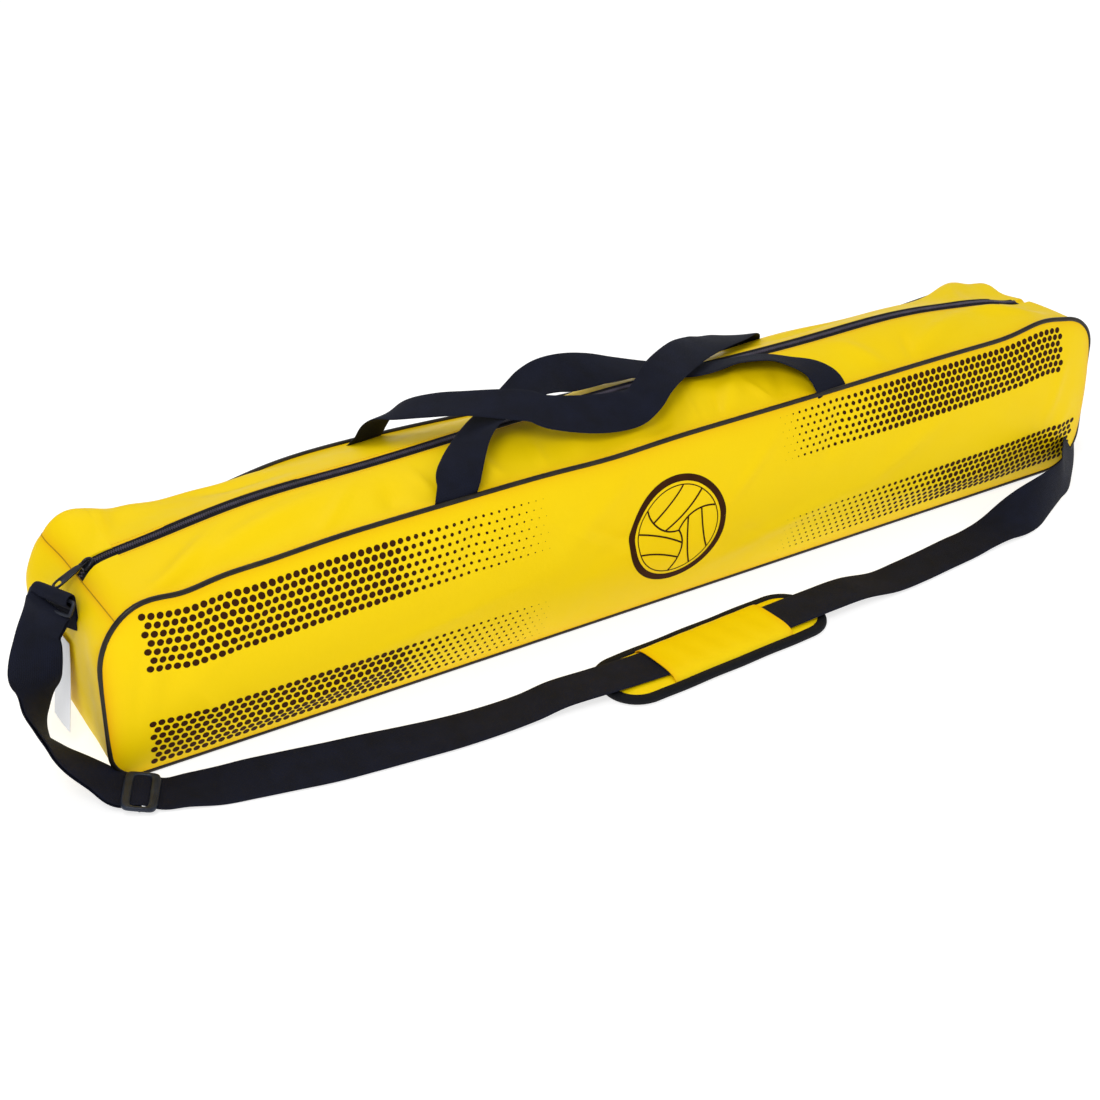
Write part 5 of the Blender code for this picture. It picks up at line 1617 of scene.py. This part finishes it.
# ------------------------------------------------------------------ pad and tag
@dataclass
class ShoulderPad:
    """The foam pad: a crowned cushion, its bound edge and the sleeve that the strap runs in."""

    finishes: Finishes
    length: float = 0.272
    width: float = 0.076
    thickness: float = 0.011
    corner: float = 0.032
    middle_x: float = -0.003
    middle_y: float = -0.19
    low: float = 0.0006
    sleeve: tuple[float, float] = (-0.0785, 0.079)
    sleeve_half: float = 0.0345
    sleeve_rise: float = 4.0 * MM
    binding_half: tuple[float, float] = (5.8 * MM, 4.2 * MM)
    turn: float = math.radians(3.5)
    shift: float = -8.0 * MM

    def settle(self, piece: bpy.types.Object) -> None:
        """Turn a finished piece a little about the pad's middle, as the pad lies."""
        middle = Vector((self.middle_x, self.middle_y, 0.0))
        piece.data.transform(Matrix.Translation(middle + Vector((0, self.shift, 0)))
                             @ Matrix.Rotation(self.turn, 4, "Z") @ Matrix.Translation(-middle))

    def half_width(self, x: Array) -> Array:
        """Return half the pad's width at each x; its corners are quarter circles."""
        into = np.clip(np.abs(x - self.middle_x) - self.length / 2 + self.corner, 0, self.corner)
        return self.width / 2 - self.corner + np.sqrt(self.corner ** 2 - into ** 2)

    def crown(self, x: Array, y: Array) -> Array:
        """Return the height of the pad's upper face, by superellipses across and along."""
        across = np.clip(np.abs(y - self.middle_y) / self.half_width(x), 0, 1)
        along = np.clip(np.abs(x - self.middle_x) / (self.length / 2), 0, 1)
        swollen = np.sqrt(np.clip(1 - across ** 3.2, 0, 1)) * np.clip(1 - along ** 14, 0, 1) ** 0.5
        return self.low + 0.0035 + (self.thickness - 0.0037) * swollen

    def cushion(self) -> None:
        """Add the cushion as sections across, flat on the floor."""
        t = np.sin(np.linspace(-math.pi / 2, math.pi / 2, 90))
        x = self.middle_x + t * self.length / 2 * 0.9995
        half = self.half_width(x)
        s = np.sin(np.linspace(-math.pi / 2, math.pi / 2, 31))
        y = self.middle_y + half[:, None] * s
        top = self.crown(x[:, None], y)
        inside = smooth_step((1 - np.abs(s[1:-1])) / 0.12)
        under = np.broadcast_to(self.low + (1 - inside) * 2.0 * MM, top[:, 1:-1].shape)
        profile = np.stack([np.concatenate([y, y[:, -2:0:-1]], axis=1),
                            np.concatenate([top, under[:, ::-1]], axis=1)], axis=-1)
        piece = swept("shoulder_pad", spots(x, 0.0, 0.0), DEEP, UP, profile)
        self.settle(piece)
        dress(piece, self.finishes.tarpaulin, "shoulder_pad",
              ("shoulder_pad",))

    def binding(self) -> None:
        """Add the binding folded over the edge, with its rounded outer side."""
        quarter = np.linspace(0, math.pi / 2, 14)
        reach_x, reach_y = self.length / 2 - self.corner, self.width / 2 - self.corner
        parts = [(self.middle_x + sx * reach_x, self.middle_y + sy * reach_y, k * math.pi / 2)
                 for k, (sx, sy) in enumerate(((1, 1), (-1, 1), (-1, -1), (1, -1)))]
        loop = np.vstack([spots(cx + self.corner * np.cos(start + quarter),
                                cy + self.corner * np.sin(start + quarter), self.low + 4.5 * MM)
                          for cx, cy, start in parts])
        count, waves = 260, 9
        path = even_path(loop, count, closed=True)
        path[:, 2] += 0.3 * MM * np.sin(np.arange(count) * math.tau * waves / count)
        line = np.vstack([path[-1:], path, path[:1]])
        outward = np.cross(unit(np.gradient(line, axis=0))[1:-1], UP)
        cos, sin = turns(20)
        wide, high = self.binding_half
        section = np.stack([wide * rounded(cos, 0.8) + 0.5 * MM, high * rounded(sin, 0.75)], axis=1)
        piece = swept("pad_binding", path, outward, UP, section, True)
        self.settle(piece)
        dress(piece, self.finishes.binding, "shoulder_pad", ("pad_binding",))

    def cover(self) -> None:
        """Add the sleeve: cloth sewn down along both sides and bulged over the strap."""
        x = np.linspace(*self.sleeve, 90)
        s = np.linspace(-1, 1, 41)
        along, across = np.meshgrid(x, self.middle_y + self.sleeve_half * s, indexing="ij")
        over = self.sleeve_rise * np.sqrt(np.clip(1 - np.abs(s / 0.97) ** 6, 0, 1))
        rumple = 0.4 * MM * np.sin(along * 210 + across * 40) * (1 - s ** 4)
        grid = spots(along, across, self.crown(along, across) + 0.9 * MM + over + rumple)
        edge = np.minimum(along - x[0], x[-1] - along)
        # Painted shade: the sleeve's colour darkens within 4 mm of its two ends.
        piece = cloth_slab("pad_sleeve", grid, 0.8 * MM, UP, 0.7 * np.exp(-edge / (4 * MM)))
        self.settle(piece)
        dress(piece, self.finishes.tarpaulin, "shoulder_pad", ("pad_sleeve",))

    def build(self) -> None:
        """Add the cushion, the binding and the sleeve."""
        self.cushion()
        self.binding()
        self.cover()


@dataclass
class HangTag:
    """The blank tag that is sewn to the left end by its top edge."""

    finishes: Finishes
    thickness: float = 0.6 * MM
    lean: float = 10.5 * MM
    curl: float = 0.7 * MM

    def build(self) -> None:
        """Add the tag, which leans outward at the bottom and curls a little lengthwise."""
        low, high = (np.array(corner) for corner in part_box("hang_tag"))
        y, z = np.linspace(low[1], high[1], 13), np.linspace(low[2], high[2], 27)
        across, up = np.meshgrid(y, z, indexing="ij")
        share = (up - low[2]) / (high[2] - low[2])
        s = (across - (low[1] + high[1]) / 2) / (high[1] - low[1]) * 2
        x = low[0] - self.lean * (1 - share) ** 1.3 - self.curl * (1 - s ** 2) * (1 - share)
        piece = cloth_slab("hang_tag", spots(x, across, up), self.thickness,
                           np.array((-1.0, 0.0, 0.0)))
        dress(piece, self.finishes.label, "hang_tag", ("hang_tag",))


# ------------------------------------------------------------------ what the bag holds
@dataclass
class Contents:
    """The rolled net with its ties, and new finishes for the poles and pegs."""

    finishes: Finishes
    frame: dict

    def net(self) -> None:
        """Add the rolled net: a lumpy roll whose radius swells between the ties."""
        low, high = (np.array(corner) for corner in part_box("net_roll"))
        middle, radius = (low + high) / 2, (high[2] - low[2]) / 2
        x = np.concatenate([[low[0]], low[0] + np.array((0.001, 0.004, 0.012)),
                            np.linspace(low[0] + 0.03, high[0] - 0.03, 120),
                            high[0] - np.array((0.012, 0.004, 0.001)), [high[0]]])
        turn = np.linspace(0, math.tau, 72, endpoint=False)
        end = np.minimum(x - low[0], high[0] - x)
        round_off = np.sqrt(np.clip(1 - (1 - np.clip(end / 0.03, 0, 1)) ** 2, 0.04, 1))
        ties = swell(x, tuple((k * 0.4, 0.022, -0.1) for k in (-1, 0, 1)))
        lumps = sum(depth * np.sin(around * turn + along * x[:, None]) for depth, around, along in
                    ((0.022, 5, 11), (0.018, 9, -17), (0.012, 3, 31)))
        size = radius * round_off[:, None] * (0.95 + ties[:, None] + lumps)
        profile = np.stack([size * np.cos(turn), size * np.sin(turn)], axis=-1)
        piece = swept("net_roll", spots(x, middle[1], middle[2]), DEEP, UP, profile)
        dress(piece, self.finishes.net, "bag", ("net_roll",))

    def tie(self, name: str) -> None:
        """Add one tie: a band of webbing round the roll."""
        low, high = (np.array(corner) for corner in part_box(name))
        middle, radius = (low + high) / 2, (high[2] - low[2]) / 2 - 1.8 * MM
        out = spots(0.0, *turns(64))
        piece = swept(name, middle + radius * out, np.array((1.0, 0.0, 0.0)), out,
                      webbing_profile(0.024, 1.8 * MM), closed=True)
        dress(piece, self.finishes.webbing, "bag", (name,))

    def build(self) -> None:
        """Add the net and its ties, and give the poles and pegs their metals."""
        self.net()
        for k in (1, 2, 3):
            self.tie(f"net_tie_{k}")
        for name, node in self.frame["nodes"].items():
            finish = (self.finishes.peg if "peg" in name else
                      self.finishes.tube if "tube" in name else
                      self.finishes.cap if "pole" in name else None)
            if finish is not None:
                for slot in node.material_slots:
                    slot.material = finish


# ------------------------------------------------------------------ studio
@dataclass
class Studio:
    """Pale floor, soft lights and the camera."""

    sky: float = 0.55
    floor_glow: float = 0.72
    floor_reach: float = 8.0
    aim: tuple[float, float, float] = (0, 0, 0.1)
    lights: tuple = (("key", (-1.5, -1.5, 2.3), 1.0, 30), ("fill", (2.0, -1.8, 1.6), 2.0, 9),
                     ("top", (0.0, 1.2, 2.8), 2.0, 16))
    lens: float = 68.256
    camera_place: tuple[float, float, float] = (-1.1237, -1.6636, 1.1849)
    camera_turn: tuple = ((-32.13, "Z"), (59.95, "X"), (0.08, "Z"))

    def light(self, name: str, place: tuple, size: float, power: float) -> None:
        """Add a square area light that looks at the bag."""
        lamp = bpy.data.lights.new(name, "AREA")
        lamp.size, lamp.energy = size, power
        holder = bpy.data.objects.new(name, lamp)
        holder.location = place
        look = Vector(self.aim) - Vector(place)
        holder.rotation_euler = look.to_track_quat("-Z", "Y").to_euler()
        bpy.context.scene.collection.objects.link(holder)

    def floor(self) -> None:
        """Add the floor as one large quad."""
        corners = np.array(((-1, -1, 0), (1, -1, 0), (1, 1, 0), (-1, 1, 0))) * self.floor_reach
        mesh = bpy.data.meshes.new("floor")
        mesh.from_pydata((corners - (0, 0, 0.0002)).tolist(), [], [(0, 1, 2, 3)])
        floor = bpy.data.objects.new("floor", mesh)
        bpy.context.scene.collection.objects.link(floor)
        sheet = NodeSheet("studio_floor_painted")
        sheet.feed(sheet.shader, {"Base Color": linear("#B8B8B8"), "Roughness": 0.9,
                                  "Emission Color": linear("#FFFFFF"),
                                  "Emission Strength": self.floor_glow})
        mesh.materials.append(sheet.material)

    def build(self) -> None:
        """Add the floor, the sky, the lights and the camera."""
        self.floor()
        world = bpy.data.worlds.new("studio")
        world.use_nodes = True
        background = world.node_tree.nodes["Background"].inputs
        background["Color"].default_value = (1, 1, 1, 1)
        background["Strength"].default_value = self.sky
        scene = bpy.context.scene
        scene.world = world
        scene.view_settings.view_transform = "Standard"
        for light in self.lights:
            self.light(*light)
        lens = bpy.data.cameras.new("camera")
        lens.lens, lens.sensor_width = self.lens, 36.0
        lens.clip_start, lens.clip_end = 0.05, 40
        camera = bpy.data.objects.new("camera", lens)
        camera.matrix_world = Matrix.Translation(self.camera_place)
        for angle, axis in self.camera_turn:
            camera.matrix_world @= Matrix.Rotation(math.radians(angle), 4, axis)
        scene.collection.objects.link(camera)
        scene.camera = camera


def main() -> None:
    """Build every sub-assembly in order."""
    logging.basicConfig(level=logging.INFO, format="%(name)s %(message)s")
    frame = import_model()
    form, finishes = BagForm(), Finishes()
    Shell(form, finishes).build()
    Print(form, finishes).build()
    Zip(form, finishes).build()
    Handles(finishes).build()
    ShoulderStrap(finishes).build()
    ShoulderPad(finishes).build()
    HangTag(finishes).build()
    Contents(finishes, frame).build()
    Studio().build()


if __name__ == "__main__":
    main()
